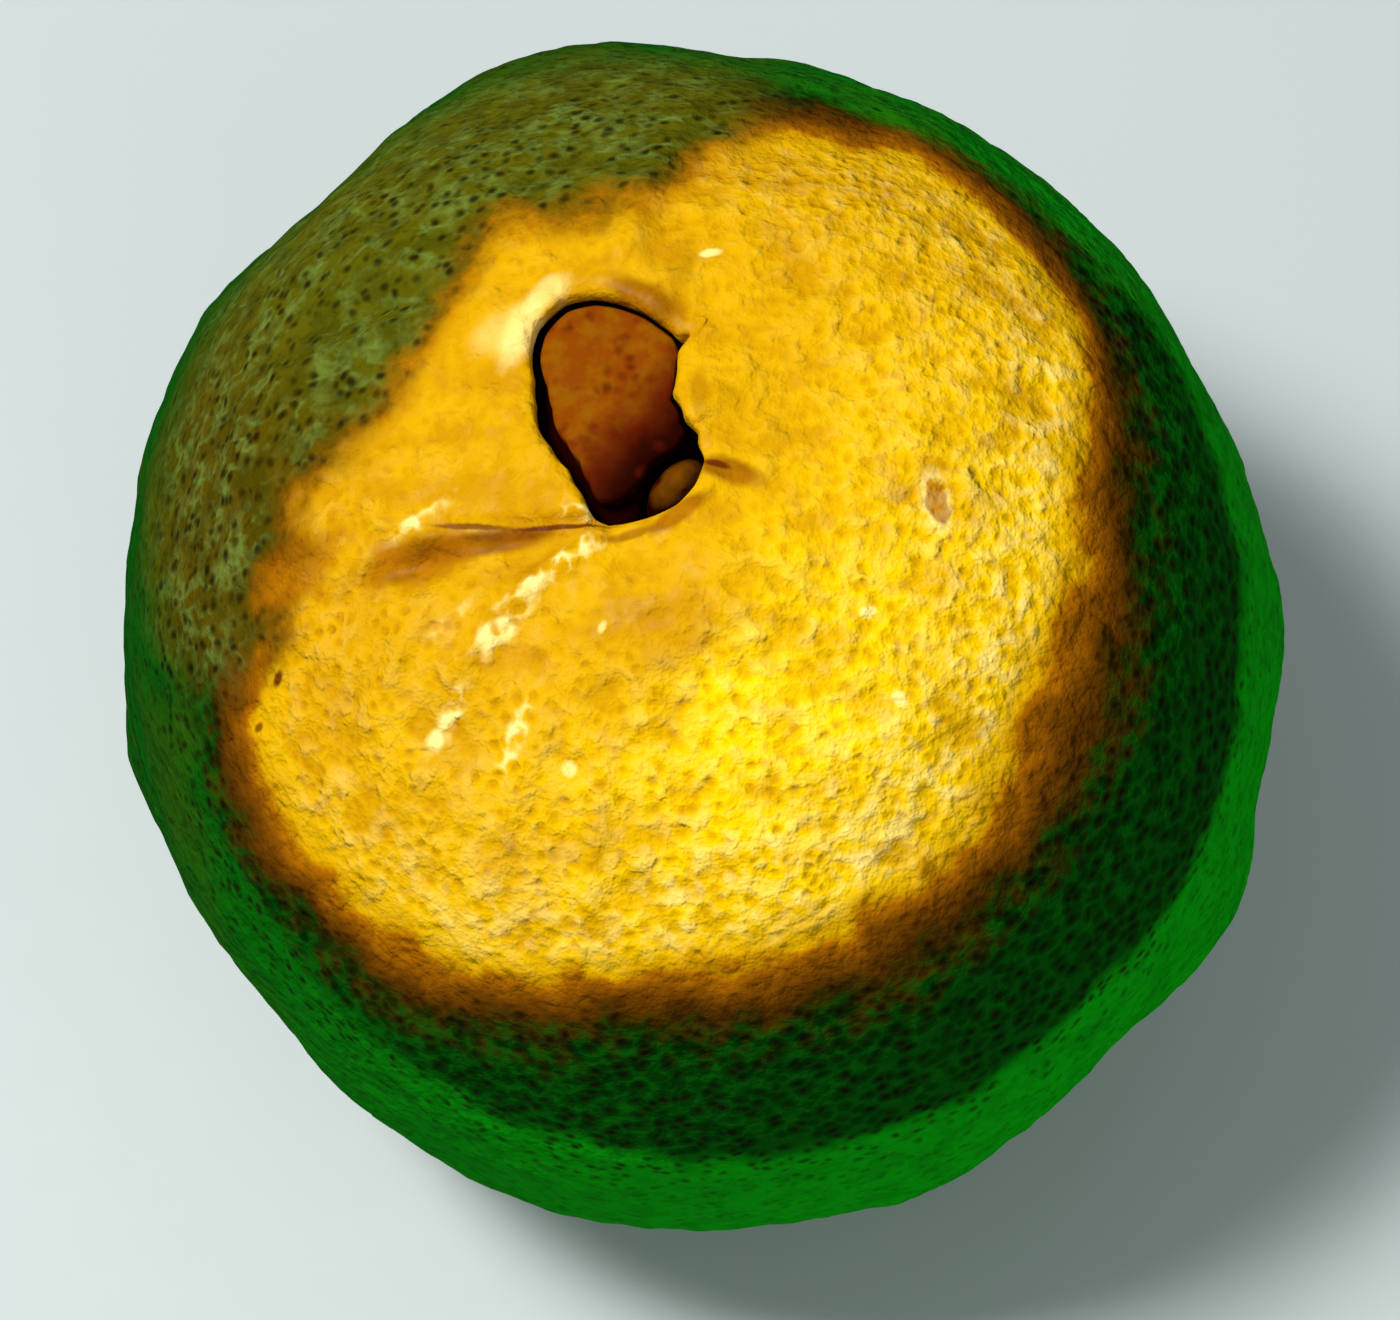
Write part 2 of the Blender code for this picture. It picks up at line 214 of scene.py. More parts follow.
def mouth_radius(bearing):
    """Return the opening's radius on each bearing, on a smooth closed curve through its radii."""
    radii = np.array(MOUTH_RADII)
    count = len(radii)
    place = np.asarray(bearing) / (2.0 * math.pi) * count % count
    first = np.floor(place).astype(int)
    share = place - first
    before, start, end, after = (radii[(first + k) % count] for k in (-1, 0, 1, 2))
    slope = (end - before) / 2.0
    bend = before - 2.5 * start + 2.0 * end - 0.5 * after
    twist = 1.5 * (start - end) + 0.5 * (after - before)
    return start + share * (slope + share * (bend + share * twist))


def torn_radius(bearing):
    """Return the radius of the opening's torn edge on each bearing, with its corners just softened."""
    bearings, radii = zip(*TORN_EDGE)
    degrees = np.degrees(bearing)
    near = [np.interp(degrees + aside, bearings, radii, period=360.0) for aside in (-1.0, 0.0, 1.0)]
    return sum(near) / len(near)


def follow_mouth(points, top=None):
    """Draw the plan in or out to the opening's outline, and to its torn edge where a top is given."""
    spread = np.hypot(points[:, 0], points[:, 1])
    bearing = np.arctan2(points[:, 1], points[:, 0])
    smooth = mouth_radius(bearing)
    near = 1.0 - smooth_step(CAVITY_MAX, MOUTH_REACH * MOUTH_MEAN, spread)
    near *= smooth_step(GIRTH_HEIGHT, (GIRTH_HEIGHT + FRUIT_HEIGHT) / 2.0, points[:, 2])
    scale = 1.0 + (smooth / MOUTH_MEAN - 1.0) * near
    if top is not None:
        close = 1.0 - smooth_step(MOUTH_MEAN + LIP_RADIUS, MOUTH_MEAN + TEAR_REACH, spread)
        close *= smooth_step(top - LIP_THICKNESS, top - 0.5 * LIP_THICKNESS, points[:, 2])
        scale += (torn_radius(bearing) - smooth) / MOUTH_MEAN * close
    return points * np.stack([scale, scale, np.ones_like(scale)], axis=1)


def line_distance(plan, line):
    """Return each point's signed distance to a line of stretches, left positive, and its share along."""
    starts = np.array(line[:-1])
    steps = np.array(line[1:]) - starts
    spans = np.hypot(steps[:, 0], steps[:, 1])
    before = np.concatenate([[0.0], np.cumsum(spans)])
    best = np.full(len(plan), np.inf)
    side = np.ones(len(plan))
    along = np.zeros(len(plan))
    for start, step, span, passed in zip(starts, steps, spans, before):
        arm = plan - start
        share = np.clip(arm @ step / span**2, 0.0, 1.0)
        away = np.hypot(*(arm - share[:, None] * step).T)
        nearer = away < best
        best = np.where(nearer, away, best)
        side = np.where(nearer, np.sign(step[0] * arm[:, 1] - step[1] * arm[:, 0]), side)
        along = np.where(nearer, (passed + share * span) / before[-1], along)
    return best * side, along


def fold_rise(points):
    """Return how far the folds raise the rind at points of the upper half."""
    total = np.zeros(len(points))
    for fold in FOLDS:
        away, along = line_distance(points[:, :2], fold.line)
        width = np.where(away > 0.0, fold.left, fold.right)
        total += fold.rise * (1.0 - fold.fade * along) * np.exp(-((away / width) ** 2))
    return total * smooth_step(GIRTH_HEIGHT, (GIRTH_HEIGHT + FRUIT_HEIGHT) / 2.0, points[:, 2])


def directions(points):
    """Return the unit directions of points from the fruit's centre."""
    arms = points - CENTRE
    return arms / np.linalg.norm(arms, axis=1)[:, None]


def direction_of(bearing, height):
    """Return the unit vector on a bearing, at an angle above the horizon."""
    level = math.cos(height)
    return np.array((math.cos(bearing) * level, math.sin(bearing) * level, math.sin(height)))


def lean(points):
    """Turn the upper part about the fruit's middle, so that the navel leans to -X."""
    tilt = np.arccos(np.clip(directions(points)[:, 2], -1.0, 1.0))
    angle = NAVEL_LEAN * (1.0 - smooth_step(math.radians(60.0), math.radians(140.0), tilt))
    arms = points - CENTRE
    x = arms[:, 0] * np.cos(angle) - arms[:, 2] * np.sin(angle)
    z = arms[:, 0] * np.sin(angle) + arms[:, 2] * np.cos(angle)
    return CENTRE + np.stack([x, arms[:, 1], z], axis=1)


def swell_rise(outward):
    """Return how far the swells raise the rind in each direction from the fruit's middle."""
    total = np.zeros(len(outward))
    for swell in SWELLS:
        middle = direction_of(math.radians(swell.bearing), math.radians(swell.height))
        angle = np.arccos(np.clip(outward @ middle, -1.0, 1.0))
        total += swell.rise * np.exp(-((angle / math.radians(swell.spread)) ** 2))
    return total * smooth_step(*SWELLS_END, np.arcsin(np.clip(outward[:, 2], -1.0, 1.0)))


def settle(points):
    """Give points the fruit's depth, lean and swells."""
    girth_share = (2.0 * np.hypot(points[:, 0], points[:, 1]) / FRUIT_WIDTH) ** 2
    deepen = 1.0 + (FRUIT_DEPTH / FRUIT_WIDTH - 1.0) * girth_share
    points = lean(np.stack([points[:, 0], points[:, 1] * deepen, points[:, 2]], axis=1))
    outward = directions(points)
    return points + outward * swell_rise(outward)[:, None]


def skin_point(angle):
    """Return radius and height of the rind at an angle from the top, sunk round the navel."""
    power = 2.0 / FULLNESS
    radius = FRUIT_WIDTH / 2.0 * math.sin(angle) ** power
    rise = abs(math.cos(angle)) ** power
    if angle <= math.pi / 2.0:
        sink = NAVEL_DISH * math.exp(-((radius / NAVEL_DISH_RADIUS) ** 2))
        return radius, GIRTH_HEIGHT + (FRUIT_HEIGHT - GIRTH_HEIGHT) * rise - sink
    return radius, GIRTH_HEIGHT * (1.0 - rise / math.cos(skin_angle(FLAT_RADIUS)) ** power)


def skin_angle(radius):
    """Return the angle from the fruit's axis at which the rind has a radius."""
    return math.asin((radius / (FRUIT_WIDTH / 2.0)) ** (FULLNESS / 2.0))


def skin_profile(rings, crowding=1.4):
    """Return the rind from the rolled edge of the opening down to the flat ring."""
    start = skin_angle(MOUTH_MEAN + LIP_RADIUS)
    end = math.pi - skin_angle(FLAT_RADIUS)
    shares = [(ring / (rings - 1)) ** crowding for ring in range(rings)]
    return [skin_point(start + (end - start) * share) for share in shares]


SKIN_TOP = skin_profile(2)[0][1]


def refine(profile, parts):
    """Split each stretch of a profile into equal parts."""
    fine = []
    for (r0, z0), (r1, z1) in zip(profile, profile[1:]):
        fine += [(r0 + (r1 - r0) * k / parts, z0 + (z1 - z0) * k / parts) for k in range(parts)]
    return fine + [profile[-1]]


def cavity_wall():
    """Return the navel cavity from the edge of its floor up to its widest."""
    return [
        (MOUTH_MEAN * 0.45, SKIN_TOP - NAVEL_DEPTH * 0.985),
        (MOUTH_MEAN * 0.80, SKIN_TOP - NAVEL_DEPTH * 0.90),
        (MOUTH_MEAN + UNDERCUT * 0.45, SKIN_TOP - NAVEL_DEPTH * 0.68),
        (MOUTH_MEAN + UNDERCUT * 0.9, SKIN_TOP - NAVEL_DEPTH * 0.48),
        (CAVITY_MAX, SKIN_TOP - NAVEL_DEPTH * 0.34),
    ]


def cavity_profile():
    """Return the navel cavity from its floor up to the edge of the opening."""
    deep = [
        (0.0, SKIN_TOP - NAVEL_DEPTH),
        *cavity_wall(),
        (MOUTH_MEAN + UNDERCUT * 0.72, SKIN_TOP - LIP_THICKNESS),
        (MOUTH_MEAN + UNDERCUT * 0.22, SKIN_TOP - LIP_THICKNESS * 0.80),
    ]
    lip = [
        (MOUTH_MEAN, SKIN_TOP - LIP_THICKNESS * 0.55),
        (MOUTH_MEAN, SKIN_TOP - LIP_THICKNESS * 0.38),
        (MOUTH_MEAN + LIP_RADIUS * 0.02, SKIN_TOP - LIP_THICKNESS * 0.25),
        (MOUTH_MEAN + LIP_RADIUS * 0.08, SKIN_TOP - LIP_THICKNESS * 0.16),
        (MOUTH_MEAN + LIP_RADIUS * 0.22, SKIN_TOP - LIP_THICKNESS * 0.09),
        (MOUTH_MEAN + LIP_RADIUS * 0.45, SKIN_TOP - LIP_THICKNESS * 0.04),
        (MOUTH_MEAN + LIP_RADIUS * 0.72, SKIN_TOP - LIP_THICKNESS * 0.01),
    ]
    return refine(deep, 2) + lip


def stem_profile():
    """Return the flat ring and the dimple, from the ring's outer edge to the dimple's middle."""
    floor_radius = CALYX_RADIUS + 2.0 * PIECE_GAP
    wall_radius = (floor_radius + DIMPLE_RADIUS) / 2.0
    return [
        ((FLAT_RADIUS + DIMPLE_RADIUS) / 2.0, 0.0),
        (DIMPLE_RADIUS, 0.0),
        (DIMPLE_RADIUS - DIMPLE_EDGE * 0.7, DIMPLE_EDGE * 0.4),
        (wall_radius, DIMPLE_DEPTH * 0.6),
        (floor_radius, DIMPLE_DEPTH),
        (floor_radius * 0.5, DIMPLE_DEPTH),
        (0.0, DIMPLE_DEPTH),
    ]


@functools.cache
def frame_fit():
    """Return the scale and shift that lay the plain moulded rind on the frame's box of the fruit."""
    turns = np.linspace(0.0, 2.0 * math.pi, FIT_STEPS, endpoint=False)
    radii, heights = np.array(skin_profile(FIT_RINGS)).T
    grid = [
        np.outer(radii, np.cos(turns)).ravel(),
        np.outer(radii, np.sin(turns)).ravel(),
        np.repeat(heights, len(turns)),
    ]
    skin = settle(follow_mouth(np.stack(grid, axis=1)))
    low, high = (np.array(corner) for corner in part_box("orange"))
    scale = (high - low) / (skin.max(0) - np.array((*skin.min(0)[:2], 0.0)))
    return scale, low - np.array((*skin.min(0)[:2], 0.0)) * scale


def place_in_frame(points):
    """Scale and shift moulded points onto the frame."""
    scale, shift = frame_fit()
    return points * scale + shift


def turn_profile(profile, steps, merge=0.000002):
    """Turn a profile of radius and height about Z into a closed shell."""
    shape = bmesh.new()
    points = [shape.verts.new((radius, 0.0, height)) for radius, height in profile]
    line = [shape.edges.new(pair) for pair in zip(points, points[1:])]
    bmesh.ops.spin(
        shape,
        geom=points + line,
        cent=(0.0, 0.0, 0.0),
        axis=(0.0, 0.0, 1.0),
        angle=2.0 * math.pi,
        steps=steps,
        use_merge=True,
        use_duplicate=False,
    )
    bmesh.ops.remove_doubles(shape, verts=shape.verts, dist=merge)
    bmesh.ops.recalc_face_normals(shape, faces=shape.faces)
    return shape


def make_mesh(name, shape):
    """Turn a finished bmesh into a smoothly shaded mesh."""
    mesh = bpy.data.meshes.new(name)
    shape.to_mesh(mesh)
    shape.free()
    mesh.shade_smooth()
    return mesh


def mesh_points(mesh):
    """Return a mesh's points as rows of x, y and z."""
    points = np.empty(len(mesh.vertices) * 3)
    mesh.vertices.foreach_get("co", points)
    return points.reshape(-1, 3)


def move_points(mesh, points):
    """Put a mesh's points in new places."""
    mesh.vertices.foreach_set("co", points.ravel())
    mesh.update()


def add_piece(name, mesh, material, node):
    """Add a piece that rides on the fruit, stands for a node of the frame and takes its finish."""
    mesh.materials.append(material)
    piece = bpy.data.objects.new(name, mesh)
    bpy.context.scene.collection.objects.link(piece)
    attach(piece, "root")
    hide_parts(node)
    return piece


def noise_at(points, lump, seed):
    """Return smooth noise from -1 to 1 at points, with lumps of a size."""
    places = points / lump + seed
    return np.array([noise.noise(place) for place in places])


def relief_depth(points, relief):
    """Return the depth of a fine relief at points, never less than nothing."""
    return relief.depth * (1.0 + noise_at(points, relief.size, relief.seed))


def roughen(points, relief):
    """Press points in towards the fruit's middle by a fine relief."""
    return points - directions(points) * relief_depth(points, relief)[:, None]


def gland_depth(outward, count, spacing):
    """Return how deep each direction lies in the nearest gland's pit, from 0 to 1."""
    order = np.arange(count) + 0.5
    height = 1.0 - 2.0 * order / count
    bearing = order * math.pi * (3.0 - math.sqrt(5.0))
    level = np.sqrt(1.0 - height**2)
    glands = np.stack([np.cos(bearing) * level, np.sin(bearing) * level, height], axis=1)
    glands += np.random.default_rng(GLAND_SEED).normal(0.0, spacing * GLAND_SCATTER, glands.shape)
    glands /= np.linalg.norm(glands, axis=1)[:, None]
    tree = kdtree.KDTree(count)
    for index, gland in enumerate(glands):
        tree.insert(gland, index)
    tree.balance()
    away = np.array([tree.find(place)[2] for place in outward])
    return np.exp(-((away / (spacing * GLAND_REACH)) ** 2))


class Wire:
    """A socket of a finish, with arithmetic that adds Math nodes."""

    def __init__(self, finish, socket):
        self.finish = finish
        self.socket = socket

    def maths(self, operation, *values):
        """Add a Math node with this value and others, and return its result."""
        sockets = dict(enumerate((self, *values)))
        return self.finish.add("Math", {"operation": operation}, sockets)

    def __add__(self, other):
        return self.maths("ADD", other)

    __radd__ = __add__

    def __mul__(self, other):
        return self.maths("MULTIPLY", other)

    __rmul__ = __mul__

    def __sub__(self, other):
        return self.maths("SUBTRACT", other)

    def __rsub__(self, other):
        return self * -1.0 + other

    def __truediv__(self, other):
        return self.maths("DIVIDE", other)

    def __pow__(self, other):
        return self.maths("POWER", other)

    def step(self, low, high):
        """Rise smoothly from 0 at low to 1 at high."""
        settings = {"interpolation_type": "SMOOTHSTEP"}
        sockets = {"Value": self, "From Min": low, "From Max": high}
        return self.finish.add("MapRange", settings, sockets)

    def sine(self):
        return self.maths("SINE")

    def most(self, other):
        return self.maths("MAXIMUM", other)

    def least(self, other):
        return self.maths("MINIMUM", other)


class Finish:
    """A material in the making: its node tree and the one method, add, that puts nodes in it."""

    def __init__(self, name, **sockets):
        self.material = bpy.data.materials.new(name)
        self.material.use_nodes = True
        self.tree = self.material.node_tree
        self.shader = self.tree.nodes["Principled BSDF"]
        self.shade(**sockets)

    def shade(self, **sockets):
        """Set or link the shader's sockets, named with _ for each space, and return the material."""
        self.fill(self.shader, {name.replace("_", " "): value for name, value in sockets.items()})
        return self.material

    def fill(self, node, sockets):
        """Set or link a node's sockets."""
        for name, value in sockets.items():
            if isinstance(value, Wire):
                self.tree.links.new(value.socket, node.inputs[name])
            else:
                node.inputs[name].default_value = value

    def add(self, kind, settings, sockets, output=0):
        """Add a node, set it up, then set or link its sockets, and return one of its outputs."""
        node = self.tree.nodes.new("ShaderNode" + kind)
        for name, value in settings.items():
            if name == "stops":
                self.set_stops(node.color_ramp, value)
            else:
                setattr(node, name, value)
        self.fill(node, sockets)
        return Wire(self, node.outputs[output])

    @staticmethod
    def set_stops(ramp, stops):
        """Give a colour ramp its stops."""
        while len(ramp.elements) < len(stops):
            ramp.elements.new(1.0)
        for element, (position, tone) in zip(ramp.elements, stops):
            element.position = position
            element.color = (*tone, 1.0)

    def place(self):
        """Return the place on the object."""
        return self.add("TexCoord", {}, {}, "Object")

    def split(self, place):
        """Return a vector's x, y and z."""
        node = self.add("SeparateXYZ", {}, {"Vector": place}).socket.node
        return [Wire(self, output) for output in node.outputs]

    def noise(self, place, lump, detail, roughness=0.5):
        """Return noise from 0 to 1 with lumps of a size in metres."""
        sockets = {"Vector": place, "Scale": 1.0 / lump, "Detail": detail, "Roughness": roughness}
        return self.add("TexNoise", {}, sockets, "Fac")

    def cells(self, place, spacing):
        """Return the distance to the nearest cell's middle, as a share of the cells' spacing."""
        return self.add("TexVoronoi", {}, {"Vector": place, "Scale": 1.0 / spacing}, "Distance")

    def blend(self, share, first, second):
        """Mix two colours by a share."""
        first, second = (tone if isinstance(tone, Wire) else (*tone, 1.0) for tone in (first, second))
        sockets = {0: share, 6: first, 7: second}
        return self.add("Mix", {"data_type": "RGBA"}, sockets, 2)

    def shift(self, place, offset):
        """Move a place by an offset, for a second pattern of the same size."""
        return self.add("VectorMath", {"operation": "ADD"}, {0: place, 1: offset})

    def scale(self, place, by):
        """Stretch a place along each axis."""
        return self.add("VectorMath", {"operation": "MULTIPLY"}, {0: place, 1: by})

    def slant(self, place, angle, by):
        """Turn a place about Z and stretch it."""
        sockets = {"Vector": place, "Rotation": (0.0, 0.0, angle), "Scale": by}
        return self.add("Mapping", {}, sockets)

    def stir(self, place, lump, reach):
        """Move a place about a little, so that a pattern laid on it is less even."""
        wander = self.add("TexNoise", {}, {"Vector": place, "Scale": 1.0 / lump, "Detail": 1.0}, "Color")
        wander = self.shift(wander, (-0.5, -0.5, -0.5))
        return self.add("VectorMath", {"operation": "MULTIPLY_ADD"}, {0: wander, 1: (reach,) * 3, 2: place})

    def ramp(self, value, *stops):
        """Return the colour that a value has on a ramp of stops."""
        return self.add("ValToRGB", {"stops": stops}, {"Fac": value}, "Color")

    def navel_plan(self, place):
        """Return a place's x and y in the plan about the navel."""
        x, y, z = self.split(place)
        return x * math.cos(NAVEL_LEAN) + (z - GIRTH_HEIGHT) * math.sin(NAVEL_LEAN), y

    def navel_depth(self, place):
        """Return how far a place lies below the top of the rind, along the navel's lean."""
        x, y, z = self.split(place)
        rise = (z - GIRTH_HEIGHT) * math.cos(NAVEL_LEAN) - x * math.sin(NAVEL_LEAN)
        return (SKIN_TOP - GIRTH_HEIGHT) - rise

    def patch(self, plan, mark, rough=None):
        """Return a soft oval mask over a mark in the plan about the navel, with a rough edge if asked."""
        x, y = (axis * 1000.0 - at for axis, at in zip(plan, mark.middle))
        cosine = math.cos(math.radians(mark.turned))
        sine = math.sin(math.radians(mark.turned))
        along = (x * cosine + y * sine) / mark.half[0]
        across = (y * cosine - x * sine) / mark.half[1]
        away = (along * along + across * across) ** 0.5
        if rough is not None:
            away = away + (rough - 0.5) * 1.2
        return 1.0 - away.step(0.45, 1.15)

    def bump(self, height, depth, strength=1.0, under=None):
        """Return the normal of a relief of a depth in metres, on top of another one."""
        sockets = {"Height": height, "Distance": depth, "Strength": strength}
        if under is not None:
            sockets["Normal"] = under
        return self.add("Bump", {}, sockets, "Normal")


def colour(name, description, default):
    """Return a colour setting."""
    return bpy.props.FloatVectorProperty(
        name=name, description=description, default=default, subtype="COLOR", size=3, min=0.0, max=1.0
    )


def length(name, description, default):
    """Return a length setting."""
    return bpy.props.FloatProperty(
        name=name, description=description, default=default, unit="LENGTH", min=0.0, precision=5
    )


class RindSettings(bpy.types.PropertyGroup):
    """Sizes and colours of the rind."""

    gland_spacing: length("Gland Spacing", "Distance between two oil glands", 0.00105)
    gland_depth: length("Gland Depth", "Depth of the pits over the glands", 0.00014)
    # Yellow and gold paint the cap as lit from above: painted light, paler towards the front, laid on the
    # rind's own yellow.
    yellow: colour("Lit Yellow", "Palest rind of the ripe cap", (0.98, 0.63, 0.001))
    gold: colour("Gold", "Deeper rind of the ripe cap, towards the back", (0.60, 0.32, 0.001))
    # Amber also paints shade in the cap's hollows and the painted terminator at the cap's edge.
    amber: colour("Amber", "Stains, hollows and the edge of the ripe cap", (0.35, 0.115, 0.001))
    # Brown paints the terminator below the lit cap; dark green paints the core shadow of the belt below it,
    # partly the rind's own green.
    brown: colour("Terminator Brown", "Rind that is turning below the cap", (0.17, 0.055, 0.001))
    dark_green: colour("Dark Green", "Belt below the cap", (0.001, 0.038, 0.001))
    # Rim lit green is painted bounce light from the floor, carried on as the rind's green over the stem end;
    # shade green is its painted shade at the back.
    rim_lit_green: colour("Rim Lit Green", "Brightest smooth rind towards the stem end", (0.002, 0.300, 0.003))
    shade_green: colour("Shade Green", "Smooth rind towards the stem end at the back", (0.002, 0.070, 0.002))
    # Olive: rind beyond the cap's edge over the back. Net: painted sheen on the raised net between its
    # glands.
    olive: colour("Olive", "Rind that is turning over the back", (0.085, 0.085, 0.002))
    net: colour("Net", "Raised net between the glands of the back", (0.140, 0.230, 0.040))
    # Pit also paints the shade inside the navel.
    pit: colour("Pit", "Dark glands and the inside of the navel", (0.006, 0.002, 0.001))
    # Crease shade: painted shade along the deep fold.
    crease_shade: colour("Crease", "Dark line in the deep fold", (0.10, 0.012, 0.001))
    # Cream also paints highlights on the bump tops and ridges.
    cream: colour("Cream", "Torn rim and scuffs", (0.97, 0.79, 0.27))


class FruitletSettings(bpy.types.PropertyGroup):
    """Colours of the fruitlet and its lobe."""

    # Ochre is the fruitlet's lit side and maroon its side of painted shade; maroon also colours its dark
    # glands.
    ochre: colour("Ochre", "Lighter side of the fruitlet", (0.23, 0.074, 0.001))
    maroon: colour("Maroon", "Darker side of the fruitlet", (0.080, 0.006, 0.001))
    red: colour("Red", "Edge of the fruitlet", (0.19, 0.022, 0.001))


class CalyxSettings(bpy.types.PropertyGroup):
    """Colours of the calyx button."""

    green: colour("Calyx Green", "Dry green of the button", (0.16, 0.19, 0.06))
    brown: colour("Calyx Brown", "Dry edges and the cut stem", (0.20, 0.11, 0.04))


class StageSettings(bpy.types.PropertyGroup):
    """Camera, light and floor."""

    floor: colour("Floor", "Plain pale floor", (0.50, 0.56, 0.57))
    distance: length("Camera Distance", "From the fruit's middle to the camera", 0.400)
    height: bpy.props.FloatProperty(
        name="Camera Height",
        description="Angle of the camera above the floor",
        default=math.radians(67.0),
        unit="ROTATION",
    )
    lens: bpy.props.FloatProperty(
        name="Lens", description="Focal length in millimetres", default=153.0, unit="CAMERA"
    )


# Marks in the plan about the navel: middle and half sizes in mm, turn in degrees, and strength.
Mark = namedtuple("Mark", "middle half turned share")
STAINS_AND_SHADE = (
    # Painted shade, partly stain, on the face below the deep fold:
    Mark((-8.6, -8.1), (6.4, 0.9), 2.0, 0.95),
    Mark((-12.6, -8.6), (4.0, 1.7), 12.0, 0.85),
    Mark((-20.8, -7.4), (3.4, 2.6), 20.0, 0.80),
    # Painted shade over the opening's upper right:
    Mark((2.2, 7.1), (3.4, 1.4), -30.0, 0.90),
    Mark((2.4, 11.4), (1.2, 3.2), 6.0, 0.30),
    Mark((4.4, 9.4), (1.2, 2.6), -10.0, 0.35),
    # Painted shade along the opening's lower right, beside the lobe:
    Mark((7.3, -4.8), (2.6, 1.0), -16.0, 0.90),
    Mark((4.3, -7.5), (2.8, 0.7), 34.0, 0.90),
    Mark((1.2, -8.6), (2.2, 0.4), 8.0, 0.70),
    Mark((-23.6, -12.6), (2.0, 1.0), 60.0, 0.70),
    Mark((5.6, 0.4), (0.7, 2.2), 0.0, 0.40),
)
# Painted shade along the creases.
CREASE_SHADES = (
    Mark((-3.2, -7.65), (3.6, 0.22), -4.0, 0.90),
    Mark((-8.8, -7.00), (3.0, 0.24), -7.0, 0.80),
    Mark((-6.4, -7.70), (3.6, 0.45), -3.0, 0.45),
    Mark((6.6, -4.4), (1.1, 0.28), -18.0, 0.90),
    Mark((-22.3, -13.6), (0.6, 0.35), 60.0, 0.90),
    Mark((-24.0, -15.8), (0.4, 0.3), 20.0, 0.80),
)
SCUFFS_AND_HIGHLIGHTS = (
    # Cream along the opening's upper left: scuffs and painted highlight on the rolled rim.
    Mark((-5.6, 5.6), (2.6, 1.5), 62.0, 0.55),
    Mark((-4.2, 7.9), (1.9, 1.0), 38.0, 0.50),
    Mark((-7.0, 5.6), (2.2, 1.7), 20.0, 0.30),
    Mark((6.1, 10.3), (0.8, 0.35), 10.0, 0.85),
    Mark((15.3, -13.2), (0.6, 0.35), 25.0, 0.85),
    Mark((-0.6, -14.4), (0.45, 0.3), 60.0, 0.60),
    Mark((16.9, -18.0), (0.45, 0.6), 30.0, 0.75),
    Mark((-3.3, -22.0), (0.55, 0.5), 0.0, 0.65),
)
# Ridges whose bumps carry painted highlights in cream.
RIDGE_HIGHLIGHTS = (
    Mark((-2.6, -10.0), (2.8, 1.0), 32.0, 1.40),
    Mark((-6.6, -13.0), (3.4, 1.1), 44.0, 1.30),
    Mark((-10.5, -13.0), (2.4, 0.6), 40.0, 0.60),
    Mark((-6.6, -20.0), (3.4, 0.9), 58.0, 1.10),
    Mark((-10.8, -18.5), (2.6, 0.8), 50.0, 0.90),
    Mark((-12.0, -6.2), (2.6, 0.7), 30.0, 1.00),
    Mark((-1.6, -6.9), (2.0, 0.6), -3.0, 1.00),
)
SCAR = Mark((19.7, -6.5), (1.1, 2.2), 12.0, 0.9)
LOBE_TOP = Mark((4.1, -4.8), (2.5, 1.3), 45.0, 1.0)

CAP_LEAN = math.radians(23.0)  # of the lit cap's axis, from +Z towards -Y; the cap's yellow is painted light
CAP_EDGE = 41.1  # mean angle of the cap's edge, where the painted terminator lies, from that axis, in degrees
CAP_WAVES = ((1, -1.5, 9.6), (2, -3.2, 9.2), (3, -3.1, -4.0))  # turns per round, cosine, sine
LEAF_EDGE = 60.0  # mean angle at which the bright green of painted bounce light begins
LEAF_WAVE = (1, 3.0, 2.6)
BACK = 134.0  # bearing of the olive back about that axis, in degrees
# Where the cap's edge lies further out or in: bearing, spread and reach in degrees.
CAP_BAYS = (
    (142, 44, 7.0), (102, 14, -6.0), (194, 18, 2.0),
    (228, 66, -4.5), (50, 60, -4.5), (84, 18, -3.5),
)

# Sizes of the rind's patterns, in metres.
BROAD_SIZE = 0.011
LUMP_SIZE = 0.0034
GRAIN_SIZE = 0.0011
KNOB_SIZE = 0.0014
MOTTLE_SIZE = 0.0024
LONG_MOTTLE_SIZE = 0.0040
WORM_SIZE = 0.0018
STIR_SIZE = 0.0014
STIR_REACH = 0.0006

# Depths of the reliefs in the finishes, in metres.
LUMP_BUMP = 0.0008
KNOB_BUMP = 0.00013
GRAIN_BUMP = 0.00013
FRUITLET_BUMP = 0.00015
CALYX_BUMP = 0.0002


def cap_place(finish, place):
    """Return a place's bearing about the lit cap's axis, in radians, and its tilt from it in degrees."""
    x, y, z = finish.split(place)
    z = z - GIRTH_HEIGHT
    up = y * math.cos(CAP_LEAN) + z * math.sin(CAP_LEAN)
    out = z * math.cos(CAP_LEAN) - y * math.sin(CAP_LEAN)
    reach = (x * x + up * up) ** 0.5
    tilt = reach.maths("ARCTAN2", out) * math.degrees(1.0)
    return up.maths("ARCTAN2", x), tilt


def wave(bearing, times, cosine, sine):
    """Return a wave with a number of turns round the fruit."""
    reach = math.hypot(cosine, sine)
    lead = math.atan2(cosine, sine)
    return (bearing * float(times) + lead).sine() * reach


def facing_share(bearing, middle, spread):
    """Return a share that is 1 on a bearing in degrees and fades to 0 at a spread to each side."""
    away = (bearing - math.radians(middle)).maths("COSINE")
    return away.step(math.cos(math.radians(spread)), 1.0)


def dim(tone, share):
    """Return a colour brought down to a share of itself."""
    return tuple(share * part for part in tone)


def cap_edge(bearing):
    """Return the tilt of the ripe cap's edge on a bearing, in degrees."""
    edge = CAP_EDGE
    for each in CAP_WAVES:
        edge = edge + wave(bearing, *each)
    for middle, spread, reach in CAP_BAYS:
        edge = edge + facing_share(bearing, middle, spread) * reach
    return edge


